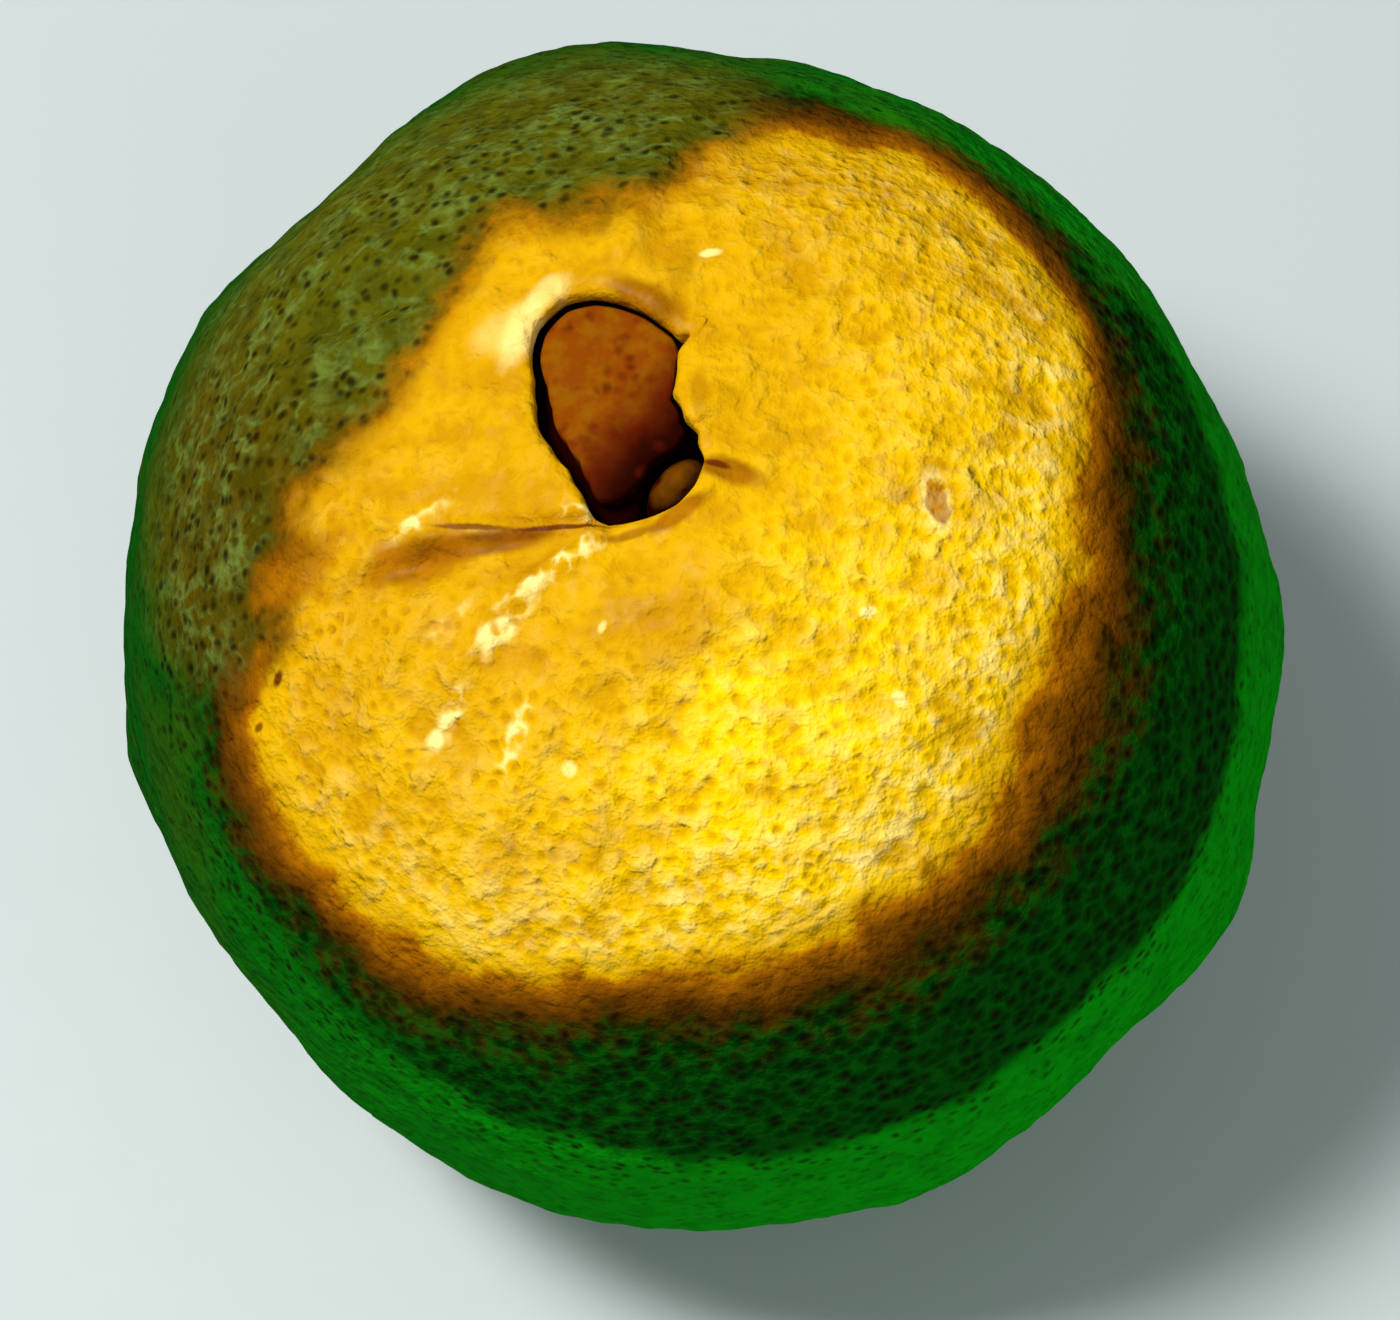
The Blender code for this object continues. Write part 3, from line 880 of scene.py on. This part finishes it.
class RindFinish(Finish):
    """The waxy pitted rind, with light and shade painted into its colour: lit yellow cap, brown painted
    terminator, dark belt of painted core shadow and bright green of painted bounce light below.
    """

    def __init__(self, tones):
        super().__init__("waxy_rind", IOR=1.45, Specular_IOR_Level=0.0, Coat_Roughness=0.30, Coat_IOR=1.45)
        self.tones = tones
        self.here = self.place()
        self.bearing, self.tilt = cap_place(self, self.here)
        x, y = self.navel_plan(self.here)
        upper = self.split(self.here)[2].step(GIRTH_HEIGHT - 0.004, GIRTH_HEIGHT + 0.004)
        x = x + (1.0 - upper)  # keeps the navel's marks off the underside
        self.plan = x, y
        self.reach = (x * x + y * y) ** 0.5
        self.smooth_navel = 1.0 - self.reach.step(0.009, 0.022)
        self.broad = self.noise(self.here, BROAD_SIZE, 3.0)
        self.lumps = self.noise(self.here, LUMP_SIZE, 4.0, 0.60)
        self.grain = self.noise(self.here, GRAIN_SIZE, 3.0, 0.55)
        self.knobs = self.noise(self.shift(self.here, (0.2, 0.3, 0.1)), KNOB_SIZE, 1.0).step(0.48, 0.74)
        mottle = self.noise(self.shift(self.here, (0.3, 0.1, 0.2)), MOTTLE_SIZE, 3.0, 0.65)
        self.mottle = mottle.step(0.42, 0.62)
        self.stirred = self.stir(self.here, STIR_SIZE, STIR_REACH)
        self.glands = self.cells(self.stirred, tones.gland_spacing)
        self.pits = 1.0 - self.glands.step(0.08, 0.50)
        self.corners = self.glands.step(0.46, 0.74)
        uneven = (self.broad - 0.5) * 9.0 + (self.lumps - 0.5) * 8.0
        self.beyond = self.tilt - cap_edge(self.bearing) + uneven  # degrees past the cap's edge, the painted terminator
        self.front = facing_share(self.bearing, -40.0, 180.0)
        self.back = facing_share(self.bearing, BACK, 64.0).step(0.15, 0.50)

    def lit_cap(self):
        """Return the lit yellow cap, with painted shade in its hollows, amber stains and pits, and painted
        highlights on its bumps.
        """
        tones = self.tones
        # Painted light: paler yellow towards the lit front, deeper gold towards the back.
        light = self.front * 0.9 + (self.broad - 0.5) * 0.6
        skin = self.blend(light, tones.gold, tones.yellow)
        slanted = self.slant(self.here, math.radians(-40.0), (0.4, 1.2, 1.0))
        long_mottle = self.noise(slanted, LONG_MOTTLE_SIZE, 3.0)
        # Painted shade: amber in the hollows between the lumps.
        skin = self.blend((0.55 - self.lumps).step(0.0, 0.20) * 0.35, skin, tones.amber)
        skin = self.blend((0.50 - long_mottle).step(0.0, 0.22) * 0.40, skin, tones.amber)
        pitted = self.pits * (0.20 + self.lumps * 0.45 - self.smooth_navel * 0.25)
        skin = self.blend(pitted, skin, tones.amber)
        # Painted highlights: cream on the bump tops, more towards the front, near the cap's edge and on the
        # ridges.
        towards_edge = self.beyond.step(-16.0, -3.0) * self.front * 0.30
        highlight_share = (1.0 - self.smooth_navel * 0.8) * (0.05 + self.front * 0.14 + towards_edge)
        for ridge in RIDGE_HIGHLIGHTS:
            highlight_share = highlight_share + self.patch(self.plan, ridge, self.lumps) * ridge.share
        painted_highlights = (self.corners * self.lumps.step(0.36, 0.60) * 0.6 + self.knobs) * highlight_share
        return self.blend(painted_highlights.least(0.9), skin, tones.cream)

    def painted_terminator(self):
        """Return the painted terminator below the cap, in brown, and the dark belt of painted core shadow
        below that.
        """
        tones = self.tones
        # Painted terminator and core shadow: yellow through brown to dark green past the cap's edge.
        skin = self.ramp(
            (self.beyond + 6.0) / 32.0,
            (0.06, dim(tones.yellow, 0.8)),
            (0.20, tones.gold),
            (0.25, tones.amber),
            (0.32, tones.brown),
            (0.38, dim(tones.brown, 0.5)),
            (0.44, dim(tones.olive, 0.2)),
            (0.52, dim(tones.dark_green, 0.6)),
            (0.80, tones.dark_green),
        )
        edge = self.beyond.step(-1.0, 5.0) - self.beyond.step(9.0, 16.0)
        skin = self.blend(self.mottle * edge * 0.4, skin, dim(tones.brown, 0.6))
        belt = self.corners * self.beyond.step(5.0, 12.0) * 0.7
        return self.blend(belt, skin, dim(tones.dark_green, 2.0))

    def olive_back(self):
        """Return the olive rind over the back, with painted sheen on its raised net."""
        tones = self.tones
        worms = self.noise(self.scale(self.stirred, (0.6, 1.0, 1.0)), WORM_SIZE, 2.0, 0.55)
        worms = (1.0 - (worms - 0.5).maths("ABSOLUTE") * 9.0).most(0.0) * self.lumps.step(0.36, 0.60)
        skin = self.blend(self.beyond.step(-2.0, 4.0), tones.amber, tones.olive)
        skin = self.blend(facing_share(self.bearing, 172.0, 34.0) * 0.5, skin, dim(tones.brown, 0.4))
        # Painted sheen on the raised net.
        skin = self.blend(worms * self.beyond.step(0.0, 6.0) * 0.60, skin, tones.net)
        return self.blend(self.mottle * 0.45, skin, dim(tones.olive, 0.4))

    def leaf_side(self):
        """Return the green rind towards the stem end, with painted bounce light at the front and painted
        shade at the back.
        """
        tones = self.tones
        # Painted light: bounce-lit green at the front, shaded green at the back.
        lit = facing_share(self.bearing, -30.0, 170.0)
        skin = self.blend(lit, tones.shade_green, tones.rim_lit_green)
        tint = (self.broad - 0.42).step(0.0, 0.25) * facing_share(self.bearing, 130.0, 110.0)
        skin = self.blend(tint * 0.5, skin, dim(tones.olive, 0.7))
        return self.blend(self.mottle * 0.25, skin, tones.dark_green)

    def leaf_share(self):
        """Return where the bright green of painted bounce light has taken over."""
        rim = self.tilt - wave(self.bearing, *LEAF_WAVE) - facing_share(self.bearing, 130.0, 60.0) * 14.0
        rim = rim - LEAF_EDGE + (self.lumps - 0.5) * 5.0 + (self.broad - 0.5) * 6.0
        return (rim / (1.0 + self.back * 3.0)).step(-2.0, 2.5)

    def dark_glands(self):
        """Return where the glands show dark, which is all but the cap."""
        green = (self.beyond.step(3.0, 10.0) + self.back * self.beyond.step(-2.0, 3.0)).least(1.0)
        fewer = 1.0 - self.tilt.step(60.0, 70.0) * 0.6
        return (self.pits * green * fewer * (0.4 + self.lumps * 0.8)).least(0.85)

    def lay_marks(self, skin, marks, tone, rough=None, texture=1.0, most=1.0):
        """Lay marks of one colour over the skin."""
        for mark in marks:
            spot = self.patch(self.plan, mark, rough) * texture
            skin = self.blend((spot * mark.share).least(most), skin, tone)
        return skin

    def navel_marks(self, skin):
        """Return the skin with its stains and painted shade, the painted shade of its creases, its scuffs
        and painted highlight, and its scar.
        """
        tones = self.tones
        stain_and_shade = self.blend(self.lumps.step(0.35, 0.6), tones.amber, dim(tones.amber, 0.6))
        skin = self.lay_marks(skin, STAINS_AND_SHADE, stain_and_shade, self.lumps, 0.5 + self.lumps, 0.9)
        skin = self.lay_marks(skin, CREASE_SHADES, tones.crease_shade)
        skin = self.lay_marks(skin, SCUFFS_AND_HIGHLIGHTS, tones.cream, self.lumps, 0.55 + self.grain * 0.9, 0.95)
        scar = self.patch(self.plan, SCAR, self.lumps)
        skin = self.blend(scar * self.grain.step(0.35, 0.55) * SCAR.share, skin, tones.cream)
        return self.blend(scar.step(0.60, 1.0) * 0.8, skin, tones.amber)

    def relief(self):
        """Return the normal of the lumps, knobs, grain and gland pits."""
        normal = self.bump(self.lumps, LUMP_BUMP, 0.9)
        normal = self.bump(self.knobs, KNOB_BUMP, 0.9, normal)
        normal = self.bump(self.grain, GRAIN_BUMP, 0.9, normal)
        glands = self.glands.step(0.0, 0.50) * self.lumps.step(0.25, 0.75) * 1.3
        glands = glands * (1.0 - self.smooth_navel * 0.7)
        return self.bump(glands, self.tones.gland_depth, 1.0, normal)

    def whole(self):
        """Put the parts together and return the material."""
        # Painted light and shade, laid by the tilt from the lit cap's axis: lit cap, terminator and belt,
        # then the bounce-lit green.
        below = self.blend(self.back, self.painted_terminator(), self.olive_back())
        skin = self.blend(self.beyond.step(-4.0, 1.0), self.lit_cap(), below)
        skin = self.blend(self.leaf_share(), skin, self.leaf_side())
        skin = self.blend(self.dark_glands(), skin, self.tones.pit)
        skin = self.navel_marks(skin)
        # Painted shade: the rind inside the navel goes dark below its lip.
        inside = self.navel_depth(self.here).step(0.0016, 0.0026)
        inside = inside * (1.0 - self.reach.step(0.0095, 0.0110))
        skin = self.blend(inside, skin, self.tones.pit)
        wax = (1.0 - self.beyond.step(-3.0, 2.0)) * 0.03 + 0.01
        gloss = 0.45 + self.grain * 0.16
        coat = wax * (1.0 - inside)
        return self.shade(Base_Color=skin, Roughness=gloss, Normal=self.relief(), Coat_Weight=coat)


def fruitlet_finish(settings):
    """Moist thin rind of the fruitlet, ochre with sunken dark glands, a maroon side of painted shade and
    painted shade where it sinks deep.
    """
    finish = Finish("moist_fruitlet_rind", Coat_Roughness=0.35, Coat_IOR=1.35, Specular_IOR_Level=0.0)
    place = finish.place()
    x, y = (axis * 1000.0 for axis in finish.navel_plan(place))
    sunk = finish.navel_depth(place) * 1000.0
    cloud = finish.noise(place, 0.0030, 3.0, 0.6)
    relief = finish.noise(place, 0.0010, 3.0)
    # Painted shade: maroon over the side turned from the light.
    side = x * 0.75 - y * 0.66 + (cloud - 0.5) * 3.0
    spots = 1.0 - finish.cells(finish.stir(place, 0.001, 0.0007), 0.0013).step(0.06, 0.50)
    skin = finish.blend((cloud + relief - 0.4).step(0.42, 0.78) * 0.6, settings.ochre, settings.red)
    skin = finish.blend(side.step(-0.8, 1.8) * 0.92, skin, settings.maroon)
    skin = finish.blend(side.step(1.2, 4.0), skin, dim(settings.maroon, 0.2))
    skin = finish.blend(spots * cloud.step(0.35, 0.6) * 0.75, skin, settings.maroon)
    lobe = finish.patch((x / 1000.0, y / 1000.0), LOBE_TOP, relief)
    skin = finish.blend(lobe * (0.2 + relief * 0.9) * LOBE_TOP.share, skin, dim(settings.ochre, 0.75))
    edge = sunk.step(1.25, 1.60) * (1.0 - side.step(-1.0, 1.5))
    skin = finish.blend(edge * 0.9, skin, settings.red)
    # Painted shade: near black where the fruitlet sinks deep in the opening.
    skin = finish.blend(sunk.step(1.8, 2.5), skin, dim(settings.maroon, 0.15))
    normal = finish.bump(relief - spots * 0.5, FRUITLET_BUMP, 0.7)
    return finish.shade(Base_Color=skin, Roughness=0.5, Normal=normal, Coat_Weight=0.01)


def calyx_finish(settings):
    """Dry calyx: matte green with brown edges and a woody stem."""
    finish = Finish("dry_calyx")
    place = finish.place()
    grain = finish.noise(place, 0.0009, 4.0, 0.6)
    x, y, z = finish.split(place)
    spread = (x * x + y * y) ** 0.5
    tips = spread.step(0.0030, 0.0047)
    stem = 1.0 - spread.step(0.0012, 0.0018)
    brown = (tips + stem).least(1.0)
    skin = finish.blend((brown * 0.7 + (grain - 0.5)).most(0.0), settings.green, settings.brown)
    normal = finish.bump(grain, CALYX_BUMP, 0.8)
    return finish.shade(Base_Color=skin, Roughness=0.65 + grain * 0.2, Normal=normal)


def floor_finish(settings):
    """Plain pale floor."""
    finish = Finish("pale_floor")
    grain = finish.noise(finish.place(), 0.004, 3.0)
    tone = finish.blend(grain * 0.1, settings.floor, dim(settings.floor, 0.93))
    return finish.shade(Base_Color=tone, Roughness=0.55 + grain * 0.1)


def rind_relief(points):
    """Return how far the fine relief raises the rind at placed points."""
    spacing = math.sqrt(4.0 * math.pi / GLAND_COUNT)
    total = -GLAND_PIT * gland_depth(directions(points), GLAND_COUNT, spacing)
    for lump in LUMPS:
        total += lump.rise * noise_at(points, lump.size, lump.seed)
    return total * smooth_step(*BARE_HEIGHT, points[:, 2])


class OBJECT_OT_orange_rind(bpy.types.Operator):
    """Makes the rind with its torn navel opening, folds, glands and stem-end dimple"""

    bl_idname = "object.orange_rind"
    bl_label = "Rind"

    def execute(self, context):
        settings = context.scene.orange_rind
        profile = cavity_profile() + skin_profile(SKIN_RINGS) + stem_profile()
        mesh = make_mesh("rind", turn_profile(profile, RIND_STEPS))
        plain = mesh_points(mesh)
        spread = np.hypot(plain[:, 0], plain[:, 1])
        outside = (plain[:, 2] > SKIN_TOP - LIP_THICKNESS * 0.7) | (spread > CAVITY_MAX)
        points = follow_mouth(plain, SKIN_TOP)
        points += directions(points) * (fold_rise(points) * outside)[:, None]
        points = place_in_frame(settle(points))
        skin = smooth_step(MOUTH_MEAN, MOUTH_MEAN + 0.5 * LIP_RADIUS, spread) * outside
        points += directions(points) * (rind_relief(points) * skin)[:, None]
        move_points(mesh, points)
        add_piece("orange_rind", mesh, RindFinish(settings).whole(), "orange")
        return {"FINISHED"}


def lobe_points(points):
    """Lay the points of a ball of radius 1 on the small lobe, which is fuller than an egg."""
    height = points[:, 2:]
    level = np.linalg.norm(points[:, :2], axis=1)[:, None]
    fuller = np.where(level > 0.0, np.maximum(level, 1e-6) ** (LOBE_FULLNESS - 1.0), 0.0)
    full = np.concatenate([points[:, :2] * fuller, height], axis=1)
    sized = full * np.array((LOBE_LENGTH, LOBE_WIDTH, LOBE_HEIGHT)) / 2.0
    return lobe_middle() + sized @ np.array(Matrix.Rotation(-LOBE_TURN, 3, "Z"))


def lobe_middle():
    """Return the middle of the small lobe."""
    middle = direction_of(LOBE_SIDE, 0.0) * LOBE_PLACE
    middle[2] = SKIN_TOP - LOBE_SINK - LOBE_HEIGHT / 2.0
    return middle


def press_round_lobe(points):
    """Press points out of the room that the small lobe needs."""
    turned = np.array(Matrix.Rotation(LOBE_TURN, 3, "Z"))
    room = np.array((LOBE_LENGTH, LOBE_WIDTH, LOBE_HEIGHT)) / 2.0 + PIECE_GAP * 1.2
    arms = (points - lobe_middle()) @ turned / room
    level = np.hypot(arms[:, 0], arms[:, 1])
    wall = np.sqrt(np.clip(1.0 - np.clip(arms[:, 2], -1.0, 1.0) ** 2, 0.0, 1.0)) ** LOBE_FULLNESS
    short = np.maximum(wall / np.maximum(level, 1e-4), 1.0)
    inside = (np.abs(arms[:, 2]) < 1.0) & (level < wall)
    short = np.where(inside, short, 1.0)
    pressed = arms * np.stack([short, short, np.ones_like(short)], axis=1)
    return lobe_middle() + (pressed * room) @ turned.T


def fruitlet_points(points):
    """Lay a turned plug, whose radius is a share of its outline, in the opening beside the lobe."""
    bearing = np.arctan2(points[:, 1], points[:, 0])
    opening = np.minimum(torn_radius(bearing), mouth_radius(bearing) + 0.0004)
    left = smooth_step(-1.0, 1.0, np.cos(bearing - math.radians(FRUITLET_GAP_SIDE)))
    neck = opening - (FRUITLET_GAP_LEAST + (FRUITLET_GAP_MOST - FRUITLET_GAP_LEAST) * left)
    body = mouth_radius(bearing) / MOUTH_MEAN * FRUITLET_MAX
    deep = 1.0 - smooth_step(-1.5 * LIP_THICKNESS, -0.95 * LIP_THICKNESS, points[:, 2] - SKIN_TOP)
    outline = neck + (body - neck) * deep
    beside = np.remainder(bearing - LOBE_SIDE + math.pi, 2.0 * math.pi) - math.pi
    room = LOBE_PLACE - LOBE_WIDTH / 2.0 - PIECE_GAP
    outline -= np.maximum(outline - room, 0.0) * np.exp(-((beside / LOBE_DENT_SPREAD) ** 2))
    plan = points[:, :2] * outline[:, None]
    return press_round_lobe(np.concatenate([plan, points[:, 2:]], axis=1))


def fruitlet_profile():
    """Return the fruitlet's share of its outline and its height, from its base to its top."""
    draw_in = CAVITY_MAX - FRUITLET_MAX
    shoulder = SKIN_TOP - FRUITLET_SINK
    wall = [((radius - draw_in) / FRUITLET_MAX, height + PLAN_GAP) for radius, height in cavity_wall()]
    return [
        (0.0, SKIN_TOP - NAVEL_DEPTH + PLAN_GAP),
        *wall,
        (0.96, SKIN_TOP - LIP_THICKNESS * 1.5),
        (0.98, SKIN_TOP - LIP_THICKNESS),
        (1.0, shoulder - FRUITLET_SHOULDER * 0.75),
        (0.995, shoulder - FRUITLET_SHOULDER * 0.46),
        (0.975, shoulder - FRUITLET_SHOULDER * 0.27),
        (0.93, shoulder - FRUITLET_SHOULDER * 0.15),
        (0.80, shoulder - FRUITLET_SHOULDER * 0.07),
        (0.40, shoulder - FRUITLET_SHOULDER * 0.02),
        (0.0, shoulder),
    ]


class OBJECT_OT_orange_fruitlet(bpy.types.Operator):
    """Makes the second fruit in the opening and the small lobe beside it"""

    bl_idname = "object.orange_fruitlet"
    bl_label = "Fruitlet and Lobe"

    def execute(self, context):
        settings = context.scene.orange_fruitlet
        material = fruitlet_finish(settings)
        profile = refine(fruitlet_profile(), PROFILE_PARTS)
        mesh = make_mesh("fruitlet", turn_profile(profile, FRUITLET_STEPS, FRUITLET_MERGE))
        points = place_in_frame(settle(fruitlet_points(mesh_points(mesh))))
        move_points(mesh, roughen(points, FRUITLET_RELIEF))
        add_piece("fruitlet", mesh, material, "navel_fruitlet")

        shape = bmesh.new()
        round_segments, height_segments = LOBE_SEGMENTS
        bmesh.ops.create_uvsphere(shape, u_segments=round_segments, v_segments=height_segments, radius=1.0)
        mesh = make_mesh("fruitlet_lobe", shape)
        points = place_in_frame(settle(lobe_points(mesh_points(mesh))))
        move_points(mesh, roughen(points, LOBE_RELIEF))
        add_piece("fruitlet_lobe", mesh, material, "navel_lobe")
        return {"FINISHED"}


def calyx_profile():
    """Return the button from the middle of its cut stem out over its edge to its flat seat."""
    return [
        (0.0, CALYX_UNDER - STEM_LENGTH * 0.8),
        (STEM_RADIUS * 0.5, CALYX_UNDER - STEM_LENGTH * 0.9),
        (STEM_RADIUS * 0.85, CALYX_UNDER - STEM_LENGTH),
        (STEM_RADIUS, CALYX_UNDER - STEM_LENGTH * 0.85),
        (STEM_RADIUS * 1.1, CALYX_UNDER),
        (CALYX_RADIUS * 0.6, CALYX_UNDER),
        (CALYX_RADIUS * 0.94, CALYX_UNDER + CALYX_THICKNESS * 0.25),
        (CALYX_RADIUS, CALYX_SEAT - CALYX_THICKNESS * 0.3),
        (CALYX_RADIUS * 0.92, CALYX_SEAT),
        (0.0, CALYX_SEAT),
    ]


def calyx_points(points):
    """Notch a turned button into its lobes and centre it on the frame's own."""
    spread = np.hypot(points[:, 0], points[:, 1])
    bearing = np.arctan2(points[:, 1], points[:, 0])
    notched = (1.0 - np.cos(CALYX_LOBES * bearing)) / 2.0
    plan = points[:, :2]
    plan *= (1.0 - CALYX_NOTCH * notched * smooth_step(STEM_RADIUS * 1.2, CALYX_RADIUS, spread))[:, None]
    middle = sum(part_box("calyx"), Vector()) / 2.0
    plan += np.array(middle.xy) - (plan.max(0) + plan.min(0)) / 2.0
    low = points[:, 2] < CALYX_SEAT - CALYX_THICKNESS * 0.3
    points[:, 2] += relief_depth(points, CALYX_RELIEF) * low
    return points


class OBJECT_OT_orange_calyx(bpy.types.Operator):
    """Makes the five-lobed calyx button with its cut stem"""

    bl_idname = "object.orange_calyx"
    bl_label = "Calyx Button"

    def execute(self, context):
        settings = context.scene.orange_calyx
        mesh = make_mesh("calyx_button", turn_profile(refine(calyx_profile(), PROFILE_PARTS), CALYX_STEPS))
        move_points(mesh, calyx_points(mesh_points(mesh)))
        add_piece("calyx_button", mesh, calyx_finish(settings), "calyx")
        return {"FINISHED"}


Lamp = namedtuple("Lamp", "name direction distance side watts tint")
LAMPS = (
    Lamp("key", (-0.400, -0.010, 0.917), 0.7, 0.16, 5.8, (1.0, 0.98, 0.94)),
    Lamp("fill", (0.6, -0.75, 0.5), 0.9, 0.8, 1.6, (1.0, 1.0, 1.0)),
)
SURROUND_TINT = (0.95, 0.98, 1.0)
SURROUND_STRENGTH = 0.30
FLOOR_REACH = 3.0
SENSOR_WIDTH = 36.0
SEEN_RANGE = (0.01, 20.0)  # nearest and furthest that the camera sees
AIM_ASIDE = -0.00043
AIM_DOWN = 0.00137


def add_lamp(setup):
    """Add a soft square light that faces the fruit."""
    light = bpy.data.lights.new(setup.name, "AREA")
    light.size = setup.side
    light.energy = setup.watts
    light.color = setup.tint
    lamp = bpy.data.objects.new(setup.name, light)
    towards = Vector(setup.direction).normalized()
    lamp.location = MIDDLE + towards * setup.distance
    lamp.rotation_mode = "QUATERNION"
    lamp.rotation_quaternion = towards.to_track_quat("Z", "Y")
    bpy.context.scene.collection.objects.link(lamp)


def add_surround():
    """Add the faint even light from all sides."""
    world = bpy.data.worlds.new("soft_surround")
    world.use_nodes = True
    background = world.node_tree.nodes["Background"]
    background.inputs["Color"].default_value = (*SURROUND_TINT, 1.0)
    background.inputs["Strength"].default_value = SURROUND_STRENGTH
    bpy.context.scene.world = world


def add_camera(settings):
    """Add the camera, looking at the fruit from above its front."""
    camera = bpy.data.cameras.new("camera")
    camera.lens = settings.lens
    camera.sensor_width = SENSOR_WIDTH
    camera.clip_start, camera.clip_end = SEEN_RANGE
    viewer = bpy.data.objects.new("camera", camera)
    back = Vector((0.0, -math.cos(settings.height), math.sin(settings.height)))
    up = Vector((0.0, math.sin(settings.height), math.cos(settings.height)))
    aim = MIDDLE + Vector((AIM_ASIDE, 0.0, 0.0)) - up * AIM_DOWN
    viewer.location = aim + back * settings.distance
    viewer.rotation_mode = "QUATERNION"
    viewer.rotation_quaternion = back.to_track_quat("Z", "Y")
    bpy.context.scene.collection.objects.link(viewer)
    bpy.context.scene.camera = viewer


class OBJECT_OT_orange_stage(bpy.types.Operator):
    """Makes the floor, the soft lights and the camera"""

    bl_idname = "object.orange_stage"
    bl_label = "Stage"

    def execute(self, context):
        settings = context.scene.orange_stage
        shape = bmesh.new()
        bmesh.ops.create_grid(shape, x_segments=1, y_segments=1, size=FLOOR_REACH)
        mesh = make_mesh("floor", shape)
        mesh.materials.append(floor_finish(settings))
        floor = bpy.data.objects.new("floor", mesh)
        context.scene.collection.objects.link(floor)

        add_surround()
        for setup in LAMPS:
            add_lamp(setup)
        add_camera(settings)
        context.scene.view_settings.view_transform = "Standard"
        return {"FINISHED"}


class VIEW3D_PT_orange(bpy.types.Panel):
    """Lists the orange's pieces and stage."""

    bl_label = "Navel Orange"
    bl_idname = "VIEW3D_PT_orange"
    bl_space_type = "VIEW_3D"
    bl_region_type = "UI"
    bl_category = "Orange"

    def draw(self, context):
        for group, operator in (
            (context.scene.orange_rind, OBJECT_OT_orange_rind),
            (context.scene.orange_fruitlet, OBJECT_OT_orange_fruitlet),
            (context.scene.orange_calyx, OBJECT_OT_orange_calyx),
            (context.scene.orange_stage, OBJECT_OT_orange_stage),
        ):
            box = self.layout.box()
            for name in group.__annotations__:
                box.prop(group, name)
            box.operator(operator.bl_idname)


SETTINGS = {
    "orange_rind": RindSettings,
    "orange_fruitlet": FruitletSettings,
    "orange_calyx": CalyxSettings,
    "orange_stage": StageSettings,
}
OPERATORS = (
    OBJECT_OT_orange_stage,
    OBJECT_OT_orange_rind,
    OBJECT_OT_orange_fruitlet,
    OBJECT_OT_orange_calyx,
)


def register():
    """Register the settings, the operators and the panel."""
    for name, group in SETTINGS.items():
        bpy.utils.register_class(group)
        setattr(bpy.types.Scene, name, bpy.props.PointerProperty(type=group))
    for each in (*OPERATORS, VIEW3D_PT_orange):
        bpy.utils.register_class(each)


def unregister():
    """Take them out again."""
    for each in (VIEW3D_PT_orange, *reversed(OPERATORS)):
        bpy.utils.unregister_class(each)
    for name, group in SETTINGS.items():
        delattr(bpy.types.Scene, name)
        bpy.utils.unregister_class(group)


def main():
    """Make every piece and the stage."""
    register()
    bpy.ops.object.orange_stage()
    bpy.ops.object.orange_rind()
    bpy.ops.object.orange_fruitlet()
    bpy.ops.object.orange_calyx()


if __name__ == "__main__":
    main()
